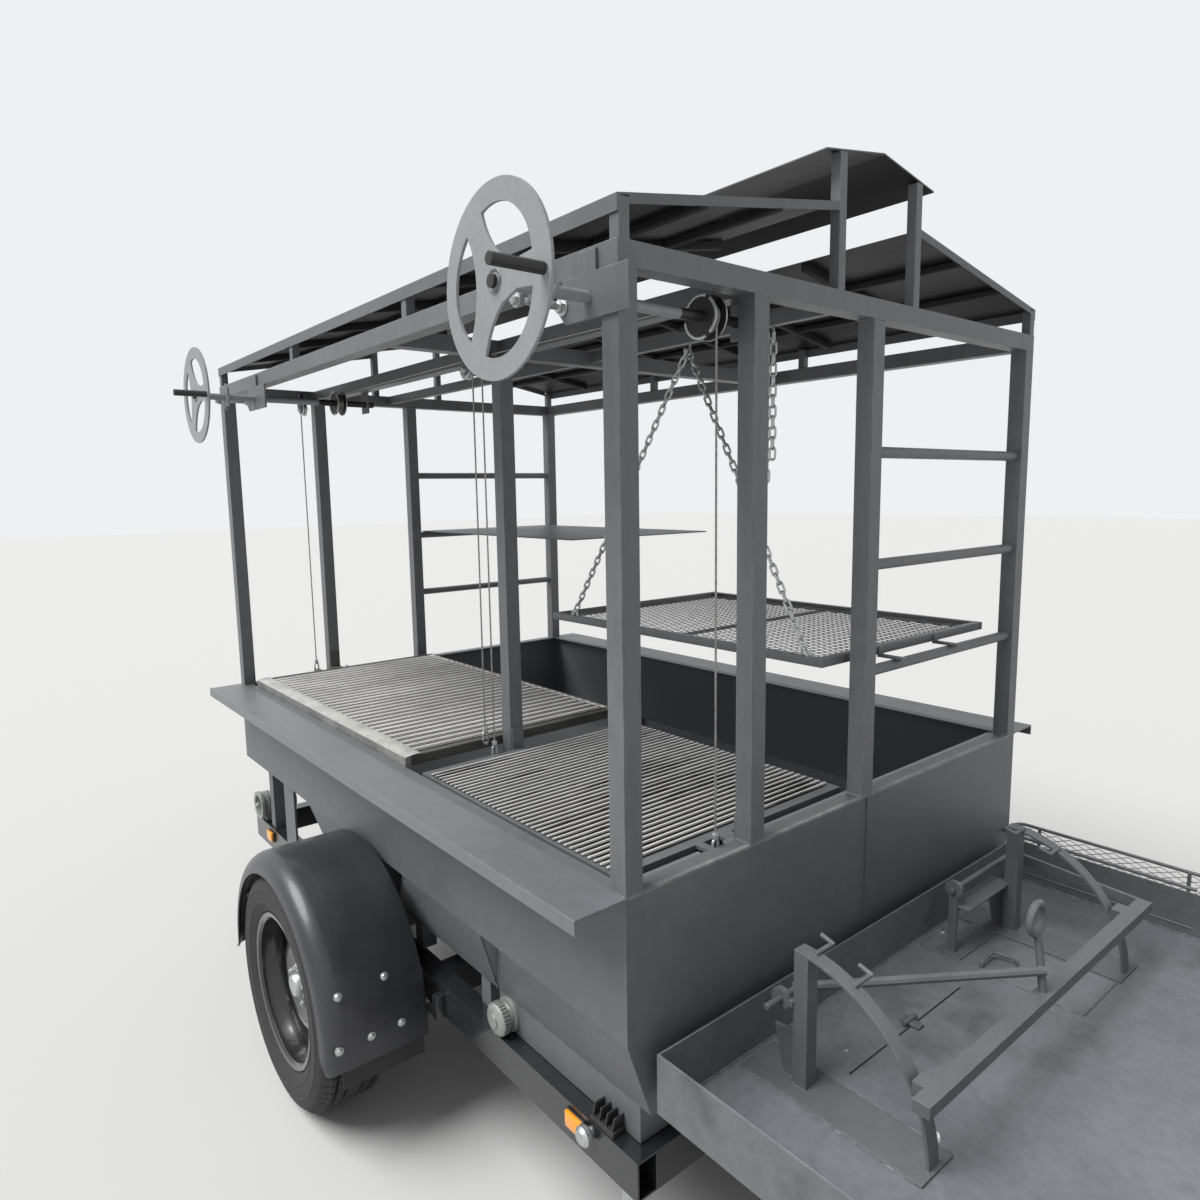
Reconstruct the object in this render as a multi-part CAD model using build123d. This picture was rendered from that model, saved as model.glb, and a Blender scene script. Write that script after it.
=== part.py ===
"""Barbecue grill trailer: a steel fire box on a single-axle road chassis.

Millimetres, +X forward (towards the drawbar), +Y to the left side, +Z up.
The origin is on the ground, under the middle of the whole trailer.
"""

from build123d import *
import math
import os

os.makedirs("parts", exist_ok=True)

# Gap left where one piece rests against another
SEAT = 0.3

# Fire box
BOX_LENGTH = 2180
BOX_WIDTH = 1450
RIM_Z = 910
SHEET = 4
BAND_HEIGHT = 278
HOPPER_HEIGHT = 160
HOPPER_INSET = 55
RIM_FLANGE = 30
LEDGE_WIDTH = 111
LEDGE_LIP = 28
HOPPER_LENGTH = 1540
NOTCH_DEPTH = 80
# Pleats between hopper sections, as distances from the rear face: top rear, top front, foot.
PLEATS = ((414, 496, 518), (872, 1004, 1022))
SEAM_RIB = (6, 4)

# Canopy frame and roof
POST = 40
POST_WALL = 3
BEAM_UNDER = 1040
GUIDE_Y = 325
GUIDE_X = 849
EAVE_LIFT = 62
ROOF_RISE = 100
ROOF_SHEET = 3
ROOF_FASCIA = 27
RIDGE_HALF = 150
CAP_LIFT = 88
CAP_RISE = 34
CAP_HALF = 196
STUD = 22
END_LIP = 14
JOIST = (20, 30)

# Shelf bars, hung shelf and plate shelf
BAR_DIA = 25
BAR_HEIGHTS = (280, 520, 766)
MESH_SHELF = (1000, 730)
MESH_SHELF_Z = 298
PLATE_SHELF = (1000, 640)
CHAIN_BAR = 7
CHAIN_FOOT = 2.5
CHAIN_HOOK = 0.42
SPARE_CHAIN = (260, 330)
HOOK_EYE = (14, 7)

# Lifting grates
GRATE_WIDTH = 695
GRATE_SIDE_GAP = 50
GRATE_TUBE = 25
ROD_DIA = 10
ROD_PITCH = 19
ROD_END = 8
CHANNEL_PITCH = 38
CHANNEL = (30, 14, 2.5)
FRONT_RISE = 30
GUTTER = (16, 38, 3)
GUIDE_CLEAR = 8
GUIDE_RUN = 0.4
LUG = (36, 5, 60)
TONGUE_SHEET = 8
TONGUE_HALF = 10

# Winches
WHEEL_DISC_R = 143
WHEEL_DISC_OUT = 180
WHEEL_SHEET = 5
SHAFT_DIA = 20
SHAFT_DROP = 38
SHAFT_RUN = 0.4
RATCHET_R = 42
RATCHET_TEETH = 9
RATCHET_OUT = 96
RATCHET_SHEET = 6
DRUM_R = 25
DRUM_FLANGE_R = 40
DRUM_WIDTH = 30
DRUM_FLANGE = 3
CABLE_Y = 270
CRANK_LENGTH = 89
CRANK_DIA = 18
CRANK_DROP = 8
PULLEY_R = 25

# Chassis
RAIL_TOP = 395
RAIL_HEIGHT = 80
RAIL_WIDTH = 50
RAIL_WALL = 4
RAIL_INSET = 20
DRAWBAR_LENGTH = 1150
DRAWBAR_BEAM = (50, 70)

# Running gear
AXLE_X = 1100
TYRE_DIA = 621
TYRE_WIDTH = 185
RIM_DIA = 404
TYRE_OUT = 265
TYRE_BULGE = 46
BEAD_SHARE = 0.72
TREAD_SHARE = 0.72
AXLE_BEAM = 70
ARM_LENGTH = 150
GUARD_GAP = 44
GUARD_WIDTH = 255
GUARD_SHEET = 5
GUARD_FLAP = 170
GUARD_SHOULDER = (28, 34)
BRACKET_TUBE = 20

# Fire tray and tilting spit frame behind the box
TRAY_LENGTH = 800
TRAY_SIDE_INSET = 40
TRAY_GAP = 32
TRAY_FLOOR_Z = 510
TRAY_WALL = 110
BEARER = 40
BEARER_Y = 440
ARC_R = 267
ARC_BAR = (30, 6)
ARC_X = 147
ARC_POST = 30
STAND_PLATE = 5
# Stands: name, middle of the stand and middle of its eye from the centre line.
STANDS = (("left", 435, 449), ("right", -395, -185))
EYE_X = 118
EYE_Z = 160
EYE_R = 20
EYE_WIDTH = 10
PIN_DIA = 12
PIN_RUN = 0.4
FRAME_BAR = (30, 22)
FRAME_X = 417
FRAME_Z = 139
FRAME_OUT = 40
BRACE_DIA = 18
RING_Y = 55
RING_Z = 288
RING_R = 29
RING_DIA = 14

# Struts, pipe fittings, lamps and stands
STRUT = (95, 7)
STRUT_X = 1720
INLET_X = 2110
INLET_R = 42
INLET_WALL = 5
INLET_RIM = 10
INLET_LENGTH = 130
DRAIN_X = 470
MARKER = (50, 12, 34)
LAMP = (160, 25, 60)
JOCKEY_DIA = 200
JOCKEY_WIDTH = 50
JOCKEY_BACK = 260
JOCKEY_TRAIL = 35
JOCKEY_TUBE = (60, 48)
JOCKEY_STEM = 34
JOCKEY_CRANK = 100
BRIDGE = (60, 150, 8)
STEADY_TUBE = 40
STEADY_BACK = 90
STEADY_DROP = 48

# Ball coupling
BALL_BORE_R = 25.4
COUPLING_REACH = 143
COUPLING_NECK = 75
COUPLING_BODY = 22
CUP_R = 38
CUP_HEIGHT = 50
OVERALL = TRAY_LENGTH + TRAY_GAP + BOX_LENGTH + DRAWBAR_LENGTH + COUPLING_REACH
REAR = TRAY_LENGTH + TRAY_GAP - OVERALL / 2
FRONT = REAR + BOX_LENGTH
LEFT = BOX_WIDTH / 2
BAND_FOOT = RIM_Z - BAND_HEIGHT
HOPPER_FOOT = BAND_FOOT - HOPPER_HEIGHT
HOPPER_END = REAR + HOPPER_LENGTH
BEAM_Z = RIM_Z + BEAM_UNDER
BEAM_TOP = BEAM_Z + POST
AXLE = REAR + AXLE_X
TYRE_R = TYRE_DIA / 2
WHEEL_Y = LEFT + TYRE_OUT - TYRE_WIDTH / 2


def block(x, y, z):
    """Box between two corners given as (low, high) pairs."""
    size = (x[1] - x[0], y[1] - y[0], z[1] - z[0])
    centre = ((x[0] + x[1]) / 2, (y[0] + y[1]) / 2, (z[0] + z[1]) / 2)
    return Pos(*centre) * Box(*size)


def rod(start, end, dia, sides=0):
    """Bar from one point to another, round or with a number of flat sides."""
    axis = Vector(*end) - Vector(*start)
    section = RegularPolygon(dia / 2, sides) if sides else Circle(dia / 2)
    return Plane(origin=start, z_dir=axis) * extrude(section, axis.length)


def tube_along_y(x, y, z, outer, inner=0):
    """Round bar or sleeve along Y between y[0] and y[1]."""
    face = Circle(outer) - Circle(inner) if inner else Circle(outer)
    return Plane(origin=(x, y[0], z), z_dir=(0, 1, 0)) * extrude(face, y[1] - y[0])


def profile_xz(points, y):
    """Flat outline in X and Z, made solid between y[0] and y[1]."""
    outline = Polyline(*[(px, y[0], pz) for px, pz in points], close=True)
    return extrude(make_face(outline), y[1] - y[0], dir=(0, 1, 0))


def profile_yz(points, x):
    """Flat outline in Y and Z, made solid between x[0] and x[1]."""
    outline = Polyline(*[(x[0], py, pz) for py, pz in points], close=True)
    return extrude(make_face(outline), x[1] - x[0], dir=(1, 0, 0))


def solid_of(faces):
    """Closed solid from flat faces, each a list of (x, y, z) corners."""
    skin = [make_face(Polyline(*corners, close=True)) for corners in faces]
    solid = Solid(Shell(skin))
    return solid if solid.volume > 0 else -solid


def tetrahedron(a, b, c, d):
    """Four-cornered wedge."""
    return solid_of([(a, b, c), (a, c, d), (a, d, b), (b, d, c)])


def polar(angle, radius):
    """Point on a flat outline, by degrees and distance from its middle."""
    return (radius * math.cos(math.radians(angle)), radius * math.sin(math.radians(angle)))


def save(name, shape):
    """One node: one file."""
    export_step(shape, f"parts/{name}.step")


CENTRE_Y = (BOX_WIDTH - POST) / 2


def pleat(side, rear_top, front_top, foot, grow=0):
    """Wedge folded into the hopper side between two sections."""
    y = side * BOX_WIDTH / 2
    deep = side * (BOX_WIDTH / 2 - NOTCH_DEPTH - grow)
    foot_y = side * (BOX_WIDTH / 2 - HOPPER_INSET - grow)
    top = BAND_FOOT + grow
    a = (REAR + rear_top - grow, y, top)
    b = (REAR + front_top + grow, y, top)
    back = (REAR + (rear_top + front_top) / 2, deep, top)
    low = (REAR + foot, foot_y, HOPPER_FOOT - grow)
    return tetrahedron(a, b, back, low)


def fire_box():
    """Band with a sloped hopper under its rear part, floor and rim flange, open at the top."""
    half = BOX_WIDTH / 2
    inner = half - SHEET
    low = half - HOPPER_INSET
    wall_in = low - SHEET
    top, mid, foot = RIM_Z, BAND_FOOT, HOPPER_FOOT
    outer = [(half, top), (half, mid), (low, foot), (-low, foot), (-half, mid), (-half, top)]
    inside = [(inner, top), (inner, mid), (wall_in, foot + SHEET),
              (-wall_in, foot + SHEET), (-inner, mid), (-inner, top)]
    hopper = profile_yz(outer, (REAR, HOPPER_END))
    shell = hopper + block((HOPPER_END, FRONT), (-half, half), (mid, top))
    pit = profile_yz(inside, (REAR + SHEET, HOPPER_END - SHEET))
    pit += block((HOPPER_END - SHEET, FRONT - SHEET), (-inner, inner), (mid + SHEET, top))
    shell -= pit
    for side in (1, -1):
        for tops_and_foot in PLEATS:
            shell += pleat(side, *tops_and_foot, grow=SHEET) & hopper
    for side in (1, -1):
        for tops_and_foot in PLEATS:
            shell -= pleat(side, *tops_and_foot)
    flange_in = half - RIM_FLANGE
    flange = block((REAR, FRONT), (-half, half), (top - SHEET, top))
    flange -= block((REAR + POST, FRONT - POST), (-flange_in, flange_in), (top - 2 * SHEET, top + SHEET))
    rib_width, rib_depth = SEAM_RIB
    rib_y = LEFT - CENTRE_Y - POST / 2
    rib = block((REAR - rib_depth, REAR), (rib_y - rib_width / 2, rib_y + rib_width / 2), (mid, top))
    return shell + flange + rib


save("fire_box", fire_box())


def ledge(side):
    """Side shelf with a turned-down lip along the long side."""
    y0 = side * BOX_WIDTH / 2
    y1 = y0 + side * LEDGE_WIDTH
    ys = sorted((y0, y1))
    plate = block((REAR, FRONT), ys, (RIM_Z - SHEET, RIM_Z))
    lip_y = sorted((y1 - side * SHEET, y1))
    lip = block((REAR, FRONT), lip_y, (RIM_Z - LEDGE_LIP, RIM_Z))
    return plate + lip


save("ledge_left", ledge(1))
save("ledge_right", ledge(-1))


# Corner and end posts of the canopy, as (distance from the rear face, distance from the left face).
POST_PLACES = [(x, y) for x in (0, BOX_LENGTH - POST) for y in (0, GUIDE_Y, CENTRE_Y, BOX_WIDTH - POST)]


def post_at(from_rear, from_left, foot=RIM_Z, head=BEAM_Z):
    x = REAR + from_rear
    y = LEFT - from_left
    t = POST_WALL
    bar = block((x, x + POST), (y - POST, y), (foot, head))
    return bar - block((x + t, x + POST - t), (y - POST + t, y - t), (foot - 1, head + 1))


def post_row(from_rear):
    """Four posts of one end, each a solid of its own."""
    return Compound([post_at(x, y) for x, y in POST_PLACES if x == from_rear])


save("posts_rear", post_row(0))
save("posts_front", post_row(BOX_LENGTH - POST))
save("guide_post", post_at(GUIDE_X, GUIDE_Y, foot=HOPPER_FOOT + SHEET))


# Hung shelf place and the line of its chains
SHELF_X = REAR + POST + 20
SHELF_Y = -LEFT + 90
SHELF_TUBE = 20
CHAIN_Y = SHELF_Y + MESH_SHELF[1] - SHELF_TUBE / 2


def top_frame():
    """Square tube ring on the posts, with cross beams over the guide posts and a light joist."""
    half = BOX_WIDTH / 2
    ring = block((REAR, FRONT), (-half, half), (BEAM_Z, BEAM_TOP))
    ring -= block((REAR + POST, FRONT - POST), (-half + POST, half - POST), (BEAM_Z - 1, BEAM_TOP + 1))
    guide = block((REAR + POST, FRONT - POST), (LEFT - GUIDE_Y - POST, LEFT - GUIDE_Y), (BEAM_Z, BEAM_TOP))
    x = REAR + GUIDE_X
    across = block((x, x + POST), (-half + POST, half - POST), (BEAM_Z, BEAM_TOP))
    width, height = JOIST
    joist = block((REAR + POST, FRONT - POST), (CHAIN_Y - width / 2, CHAIN_Y + width / 2),
                  (BEAM_TOP - height, BEAM_TOP))
    return ring + guide + across + joist


save("top_frame", top_frame())

EAVE_Z = BEAM_TOP + EAVE_LIFT
SLOPE_TOP = EAVE_Z + ROOF_RISE


def slope_under(y):
    """Height of a slope's underside at a distance from the middle."""
    half = BOX_WIDTH / 2
    return SLOPE_TOP - ROOF_RISE * (abs(y) - RIDGE_HALF) / (half - RIDGE_HALF)


def roof_panel(side):
    """Sloped sheet with a fascia at its eave and a small lip at each end."""
    half = BOX_WIDTH / 2
    points = [
        (side * half, EAVE_Z - ROOF_FASCIA + ROOF_SHEET),
        (side * half, EAVE_Z + ROOF_SHEET),
        (side * RIDGE_HALF, SLOPE_TOP + ROOF_SHEET),
        (side * RIDGE_HALF, SLOPE_TOP),
        (side * (half - ROOF_SHEET), EAVE_Z),
        (side * (half - ROOF_SHEET), EAVE_Z - ROOF_FASCIA + ROOF_SHEET),
    ]
    panel = profile_yz(points, (REAR, FRONT))
    stud = half - ROOF_SHEET - STUD
    lip = [
        (side * stud, slope_under(stud) - END_LIP),
        (side * stud, slope_under(stud) + 1),
        (side * RIDGE_HALF, SLOPE_TOP + 1),
        (side * RIDGE_HALF, SLOPE_TOP - END_LIP),
    ]
    for x in (REAR, FRONT - ROOF_SHEET):
        panel += profile_yz(lip, (x, x + ROOF_SHEET))
    return panel


save("roof_left", roof_panel(1))
save("roof_right", roof_panel(-1))

CAP_EAVE = SLOPE_TOP + CAP_LIFT
CAP_TOP = CAP_EAVE + CAP_RISE


def ridge_cap():
    """Low gabled cap that stands over the slot between the two slopes."""
    points = [
        (CAP_HALF, CAP_EAVE),
        (CAP_HALF, CAP_EAVE + ROOF_SHEET),
        (0, CAP_TOP + ROOF_SHEET),
        (-CAP_HALF, CAP_EAVE + ROOF_SHEET),
        (-CAP_HALF, CAP_EAVE),
        (0, CAP_TOP),
    ]
    return profile_yz(points, (REAR, FRONT))


save("ridge_cap", ridge_cap())


def cap_under(y):
    """Height of the cap's underside at a distance from its middle."""
    return CAP_TOP - CAP_RISE * abs(y) / CAP_HALF


STUD_ROWS = (0, (BOX_LENGTH - STUD) / 3, 2 * (BOX_LENGTH - STUD) / 3, BOX_LENGTH - STUD)


def ridge_studs():
    """Studs from the end beams up to the cap, with rafters between."""
    solids = []
    inner = RIDGE_HALF - STUD
    for from_rear in (0, BOX_LENGTH - STUD):
        x = REAR + from_rear
        for side in (1, -1):
            ya, yb = side * inner, side * RIDGE_HALF
            top = min(cap_under(ya), cap_under(yb))
            stud = block((x, x + STUD), sorted((ya, yb)), (BEAM_TOP, top))
            solids.append(stud)
    return Compound(solids)


def eave_studs():
    """Short studs on the long beams that carry the eaves."""
    solids = []
    half = BOX_WIDTH / 2 - ROOF_SHEET
    for from_rear in STUD_ROWS:
        x = REAR + from_rear
        for side in (1, -1):
            ys = sorted((side * half, side * (half - STUD)))
            solids.append(block((x, x + STUD), ys, (BEAM_TOP, EAVE_Z)))
    return Compound(solids)


save("ridge_studs", ridge_studs())
save("eave_studs", eave_studs())


def shelf_bars(from_rear):
    """Round bars between the centre post and the right corner post, drawn with twelve sides."""
    x = REAR + from_rear + POST / 2
    y_in = LEFT - CENTRE_Y - POST
    y_out = -LEFT + POST
    bars = [rod((x, y_out, RIM_Z + h), (x, y_in, RIM_Z + h), BAR_DIA, sides=12) for h in BAR_HEIGHTS]
    return Compound(bars)


save("shelf_bars_rear", shelf_bars(0))
save("shelf_bars_front", shelf_bars(BOX_LENGTH - POST))


def plate_shelf():
    """Flat shelf carried by the middle front bar and the right side."""
    length, width = PLATE_SHELF
    x1 = FRONT - POST
    y0 = -LEFT + POST
    z = RIM_Z + BAR_HEIGHTS[1] + BAR_DIA / 2
    plate = block((x1 - length, x1 + POST), (y0 + 2, y0 + width), (z, z + SHEET))
    return plate


save("plate_shelf", plate_shelf())


def mesh_shelf():
    """Tube ring with a mesh floor; its hook lies on the lowest rear bar."""
    length, width = MESH_SHELF
    tube = SHELF_TUBE
    x1, y1 = SHELF_X + length, SHELF_Y + width
    z0 = RIM_Z + MESH_SHELF_Z
    ring = block((SHELF_X, x1), (SHELF_Y, y1), (z0, z0 + tube))
    inside = ((SHELF_X + tube, x1 - tube), (SHELF_Y + tube, y1 - tube))
    ring -= block(*inside, (z0 - 1, z0 + tube + 1))
    sheet = block(*inside, (z0, z0 + SHEET))
    bar_top = RIM_Z + BAR_HEIGHTS[0] + BAR_DIA / 2
    hook_y = SHELF_Y + width / 3
    hook = block((REAR + POST / 2 - BAR_DIA, SHELF_X + 1), (hook_y, hook_y + tube), (bar_top, z0))
    tab = block((SHELF_X - 4, SHELF_X + 1), (hook_y, hook_y + tube), (bar_top, z0 + tube))
    return ring + sheet + hook + tab


save("mesh_shelf", mesh_shelf())


def shelf_chains():
    """Chains that hang the inner edge of the shelf from the joist, and a spare doubled chain."""
    length = MESH_SHELF[0]
    foot = RIM_Z + MESH_SHELF_Z + SHELF_TUBE + CHAIN_FOOT
    hook_z = BEAM_TOP - JOIST[1]
    hook_x = SHELF_X + length * CHAIN_HOOK
    half, thick = HOOK_EYE
    eye_y = (CHAIN_Y - thick, CHAIN_Y + thick)
    eye_z = (hook_z - 2 * CHAIN_BAR, hook_z)
    pair = block((hook_x - half, hook_x + half), eye_y, eye_z)
    for share, side in ((0.05, -1), (0.9, 1)):
        top = (hook_x + side * CHAIN_BAR, CHAIN_Y, hook_z - CHAIN_BAR)
        pair += rod((SHELF_X + length * share, CHAIN_Y, foot), top, CHAIN_BAR, sides=6)
    spare_x = hook_x - SPARE_CHAIN[0]
    spare = block((spare_x - half, spare_x + half), eye_y, eye_z)
    for side in (1, -1):
        x = spare_x + side * CHAIN_BAR
        top = (x, CHAIN_Y, hook_z - CHAIN_BAR)
        spare += rod((x, CHAIN_Y, hook_z - SPARE_CHAIN[1]), top, CHAIN_BAR, sides=6)
    return Compound([pair, spare])


save("shelf_chains", shelf_chains())

GRATE_TOP = RIM_Z - 8
GRATE_Y1 = LEFT - GRATE_SIDE_GAP
GRATE_Y0 = GRATE_Y1 - GRATE_WIDTH
REAR_GRATE_X = (REAR + POST + 45, REAR + GUIDE_X - GUIDE_CLEAR)
FRONT_GRATE_X = (REAR + GUIDE_X + POST + GUIDE_CLEAR, FRONT - POST - 40)


def grate_ring(xs, top):
    """Square tube frame round a grate."""
    t = GRATE_TUBE
    ring = block(xs, (GRATE_Y0, GRATE_Y1), (top - t, top))
    ring -= block((xs[0] + t, xs[1] - t), (GRATE_Y0 + t, GRATE_Y1 - t), (top - t - 1, top + 1))
    return ring


def lift_lug(frame_x, post_x, top):
    """Shoe that runs on a guide post's face, and the tongue that takes the cable."""
    width, thick, rise = LUG
    y = LEFT - GUIDE_Y - POST / 2
    across = (y - width / 2, y + width / 2)
    away = 1 if frame_x > post_x else -1
    face = post_x + away * GUIDE_RUN
    reach = frame_x + away * 2
    under = top - TONGUE_SHEET
    shoe = block(sorted((face, face + away * thick)), across, (top - GRATE_TUBE, top + rise))
    arm = block(sorted((face + away, reach)), across, (under, top))
    cable_y = LEFT - CABLE_Y
    tongue_y = (cable_y - TONGUE_HALF, cable_y + TONGUE_HALF)
    tongue = block(sorted((face, reach)), tongue_y, (under, top))
    return shoe + arm + tongue


def rear_grate():
    """Frame with round rods laid across it, drawn with six sides."""
    ring = grate_ring(REAR_GRATE_X, GRATE_TOP)
    y0, y1 = GRATE_Y0 + ROD_END, GRATE_Y1 - ROD_END
    x = REAR_GRATE_X[0] + GRATE_TUBE + ROD_PITCH / 2
    while x < REAR_GRATE_X[1] - GRATE_TUBE - ROD_DIA / 2:
        ring += rod((x, y0, GRATE_TOP), (x, y1, GRATE_TOP), ROD_DIA, sides=6)
        x += ROD_PITCH
    ring += lift_lug(REAR_GRATE_X[0], REAR + POST, GRATE_TOP)
    ring += lift_lug(REAR_GRATE_X[1], REAR + GUIDE_X, GRATE_TOP)
    return ring


save("rear_grate", rear_grate())

FRONT_TOP = GRATE_TOP + FRONT_RISE


def front_grate():
    """Frame with folded V channels across it."""
    ring = grate_ring(FRONT_GRATE_X, FRONT_TOP)
    width, depth, sheet = CHANNEL
    lip = FRONT_TOP + 2
    x = FRONT_GRATE_X[0] + GRATE_TUBE + CHANNEL_PITCH / 2
    while x < FRONT_GRATE_X[1] - GRATE_TUBE - width / 2:
        fold = [(x - width / 2, lip), (x, lip - depth), (x + width / 2, lip),
                (x + width / 2 - sheet, lip), (x, lip - depth + sheet * 1.4), (x - width / 2 + sheet, lip)]
        ring += profile_xz(fold, (GRATE_Y0 + ROD_END, GRATE_Y1 - ROD_END))
        x += CHANNEL_PITCH
    ring += lift_lug(FRONT_GRATE_X[0], REAR + GUIDE_X + POST, FRONT_TOP)
    ring += lift_lug(FRONT_GRATE_X[1], FRONT - POST, FRONT_TOP)
    return ring


save("front_grate", front_grate())


def grease_gutter():
    """Trough along the front grate's left side, hooked on its frame."""
    width, height, sheet = GUTTER
    x0, x1 = FRONT_GRATE_X
    y0 = GRATE_Y1 + SEAT
    y1 = y0 + width
    top = FRONT_TOP - 2
    floor = top - height
    trough = block((x0, x1), (y0, y1), (floor, top))
    return trough - block((x0 + sheet, x1 - sheet), (y0 + sheet, y1 - sheet), (floor + sheet, top + 1))


save("grease_gutter", grease_gutter())

SHAFT_Z = BEAM_Z - SHAFT_DROP
# Winch places: name and distance of the shaft from the rear face.
WINCHES = (("rear", POST + 30), ("front", 1780))
PLATE_SHEET = 5
PLATE_END = 100
PLATE_SHOULDER = 60
PLATE_FOOT = 34
PLATE_TAB = 22
INNER_PLATE = (25, 30)


def winch_plate(from_rear):
    """Bearing plates of one shaft, on the long beam and the guide beam."""
    x = REAR + from_rear
    top = BEAM_Z - SEAT
    tab_top = BEAM_TOP - 6
    foot = SHAFT_Z - PLATE_FOOT
    outline = [(x - PLATE_END, foot), (x - PLATE_END, top), (x + PLATE_SHOULDER, top),
               (x + PLATE_END - 10, SHAFT_Z), (x + PLATE_SHOULDER, foot)]
    outer_y = (LEFT + SEAT, LEFT + SEAT + PLATE_SHEET)
    outer = profile_xz(outline, outer_y)
    outer += block((x - PLATE_TAB, x + PLATE_TAB), outer_y, (top - 1, tab_top))
    inner_y = LEFT - GUIDE_Y - POST - SEAT
    half, drop = INNER_PLATE
    inner = block((x - half, x + half), (inner_y - PLATE_SHEET, inner_y), (SHAFT_Z - drop, tab_top))
    hole = tube_along_y(x, (inner_y - 10, LEFT + 10), SHAFT_Z, SHAFT_DIA / 2 + SHAFT_RUN)
    return Compound([outer - hole, inner - hole])


def wheel_windows():
    """Three openings of the cut disc, mirrored about the spoke that carries the crank."""
    r = WHEEL_DISC_R
    top = make_face([
        ThreePointArc(polar(14, 0.70 * r), polar(60, 0.76 * r), polar(107, 0.76 * r)),
        ThreePointArc(polar(107, 0.76 * r), polar(100, 0.44 * r), polar(62, 0.27 * r)),
        Line(polar(62, 0.27 * r), polar(20, 0.42 * r)),
        Line(polar(20, 0.42 * r), polar(14, 0.70 * r)),
    ])
    side = make_face([
        ThreePointArc(polar(133, 0.76 * r), polar(180, 0.79 * r), polar(227, 0.76 * r)),
        ThreePointArc(polar(227, 0.76 * r), polar(180, 0.36 * r), polar(133, 0.76 * r)),
    ])
    return [top, mirror(top, about=Plane.XZ), side]


def ratchet_face():
    """Saw-toothed outline of the ratchet wheel."""
    points = []
    step = 360 / RATCHET_TEETH
    for tooth in range(RATCHET_TEETH):
        points.append(polar(tooth * step, RATCHET_R))
        points.append(polar(tooth * step + 3, RATCHET_R * 0.74))
    return make_face(Polyline(*points, close=True))


def handwheel(from_rear):
    """Cut disc with a crank, on the shaft with its ratchet and cable drum."""
    x = REAR + from_rear
    disc_y = LEFT + WHEEL_DISC_OUT
    face = Plane(origin=(x, disc_y, SHAFT_Z), x_dir=(-1, 0, 0), z_dir=(0, 1, 0))
    disc = extrude(face * Circle(WHEEL_DISC_R), -WHEEL_SHEET)
    for window in wheel_windows():
        disc -= extrude(face * window, -WHEEL_SHEET)
    shaft_end = LEFT - GUIDE_Y - POST - 30
    shaft = tube_along_y(x, (shaft_end, disc_y + 8), SHAFT_Z, SHAFT_DIA / 2)
    ratchet_y = LEFT + RATCHET_OUT
    ratchet_plane = Plane(origin=(x, ratchet_y, SHAFT_Z), x_dir=(-1, 0, 0), z_dir=(0, 1, 0))
    ratchet = extrude(ratchet_plane * ratchet_face(), -RATCHET_SHEET)
    crank_x = x - WHEEL_DISC_R * 0.88
    crank_z = SHAFT_Z - CRANK_DROP
    crank_end = disc_y + CRANK_LENGTH
    crank = rod((crank_x, disc_y - 1, crank_z), (crank_x, crank_end, crank_z), CRANK_DIA, sides=12)
    cable_y = LEFT - CABLE_Y
    half = DRUM_WIDTH / 2
    drum = tube_along_y(x, (cable_y - half, cable_y + half), SHAFT_Z, DRUM_R)
    for y in (cable_y - half, cable_y + half - DRUM_FLANGE):
        drum += rod((x, y, SHAFT_Z), (x, y + DRUM_FLANGE, SHAFT_Z), 2 * DRUM_FLANGE_R, sides=20)
    return disc + shaft + ratchet + crank + drum


for name, from_rear in WINCHES:
    save(f"winch_plates_{name}", winch_plate(from_rear))
    save(f"handwheel_{name}", handwheel(from_rear))


def cable_pulleys():
    """Sheaves that turn the cables down to the grates' far lugs, on brackets from the beams."""
    lug_run = GUIDE_RUN + LUG[1] / 2
    # Cable line, direction from it to the sheave's middle, face of the beam that carries the bracket.
    places = (
        (REAR + GUIDE_X - lug_run, -1, REAR + GUIDE_X),
        (REAR + GUIDE_X + POST + lug_run, 1, REAR + GUIDE_X + POST),
        (FRONT - POST - lug_run, -1, FRONT - POST),
    )
    solids = []
    y = LEFT - CABLE_Y
    z = BEAM_Z - PULLEY_R - 4
    for line_x, away, beam_x in places:
        x = line_x + away * PULLEY_R
        sheave = tube_along_y(x, (y - 7, y + 7), z, PULLEY_R)
        cheek = block(sorted((beam_x, x + away * 10)), (y + 6, y + 11), (z - 10, BEAM_TOP - 10))
        solids.append(sheave + cheek)
    return Compound(solids)


save("cable_pulleys", cable_pulleys())


def chassis():
    """Two rails and the cross members between them."""
    y1 = LEFT - RAIL_INSET
    y0 = y1 - RAIL_WIDTH
    z = (RAIL_TOP - RAIL_HEIGHT, RAIL_TOP)
    frame = block((REAR, FRONT), (y0, y1), z) + block((REAR, FRONT), (-y1, -y0), z)
    for from_rear in (0, AXLE_X - 330, AXLE_X + 330, BOX_LENGTH - 50):
        frame += block((REAR + from_rear, REAR + from_rear + 50), (-y0 - 1, y0 + 1), z)
    t = RAIL_WALL
    zi = (z[0] + t, z[1] - t)
    frame -= block((REAR - 1, FRONT + 1), (y0 + t, y1 - t), zi)
    frame -= block((REAR - 1, FRONT + 1), (-y1 + t, -y0 - t), zi)
    return frame


save("chassis_frame", chassis())


MOUNT_ROWS = (560, 900)
FRONT_LEG_X = INLET_X - 120


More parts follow.
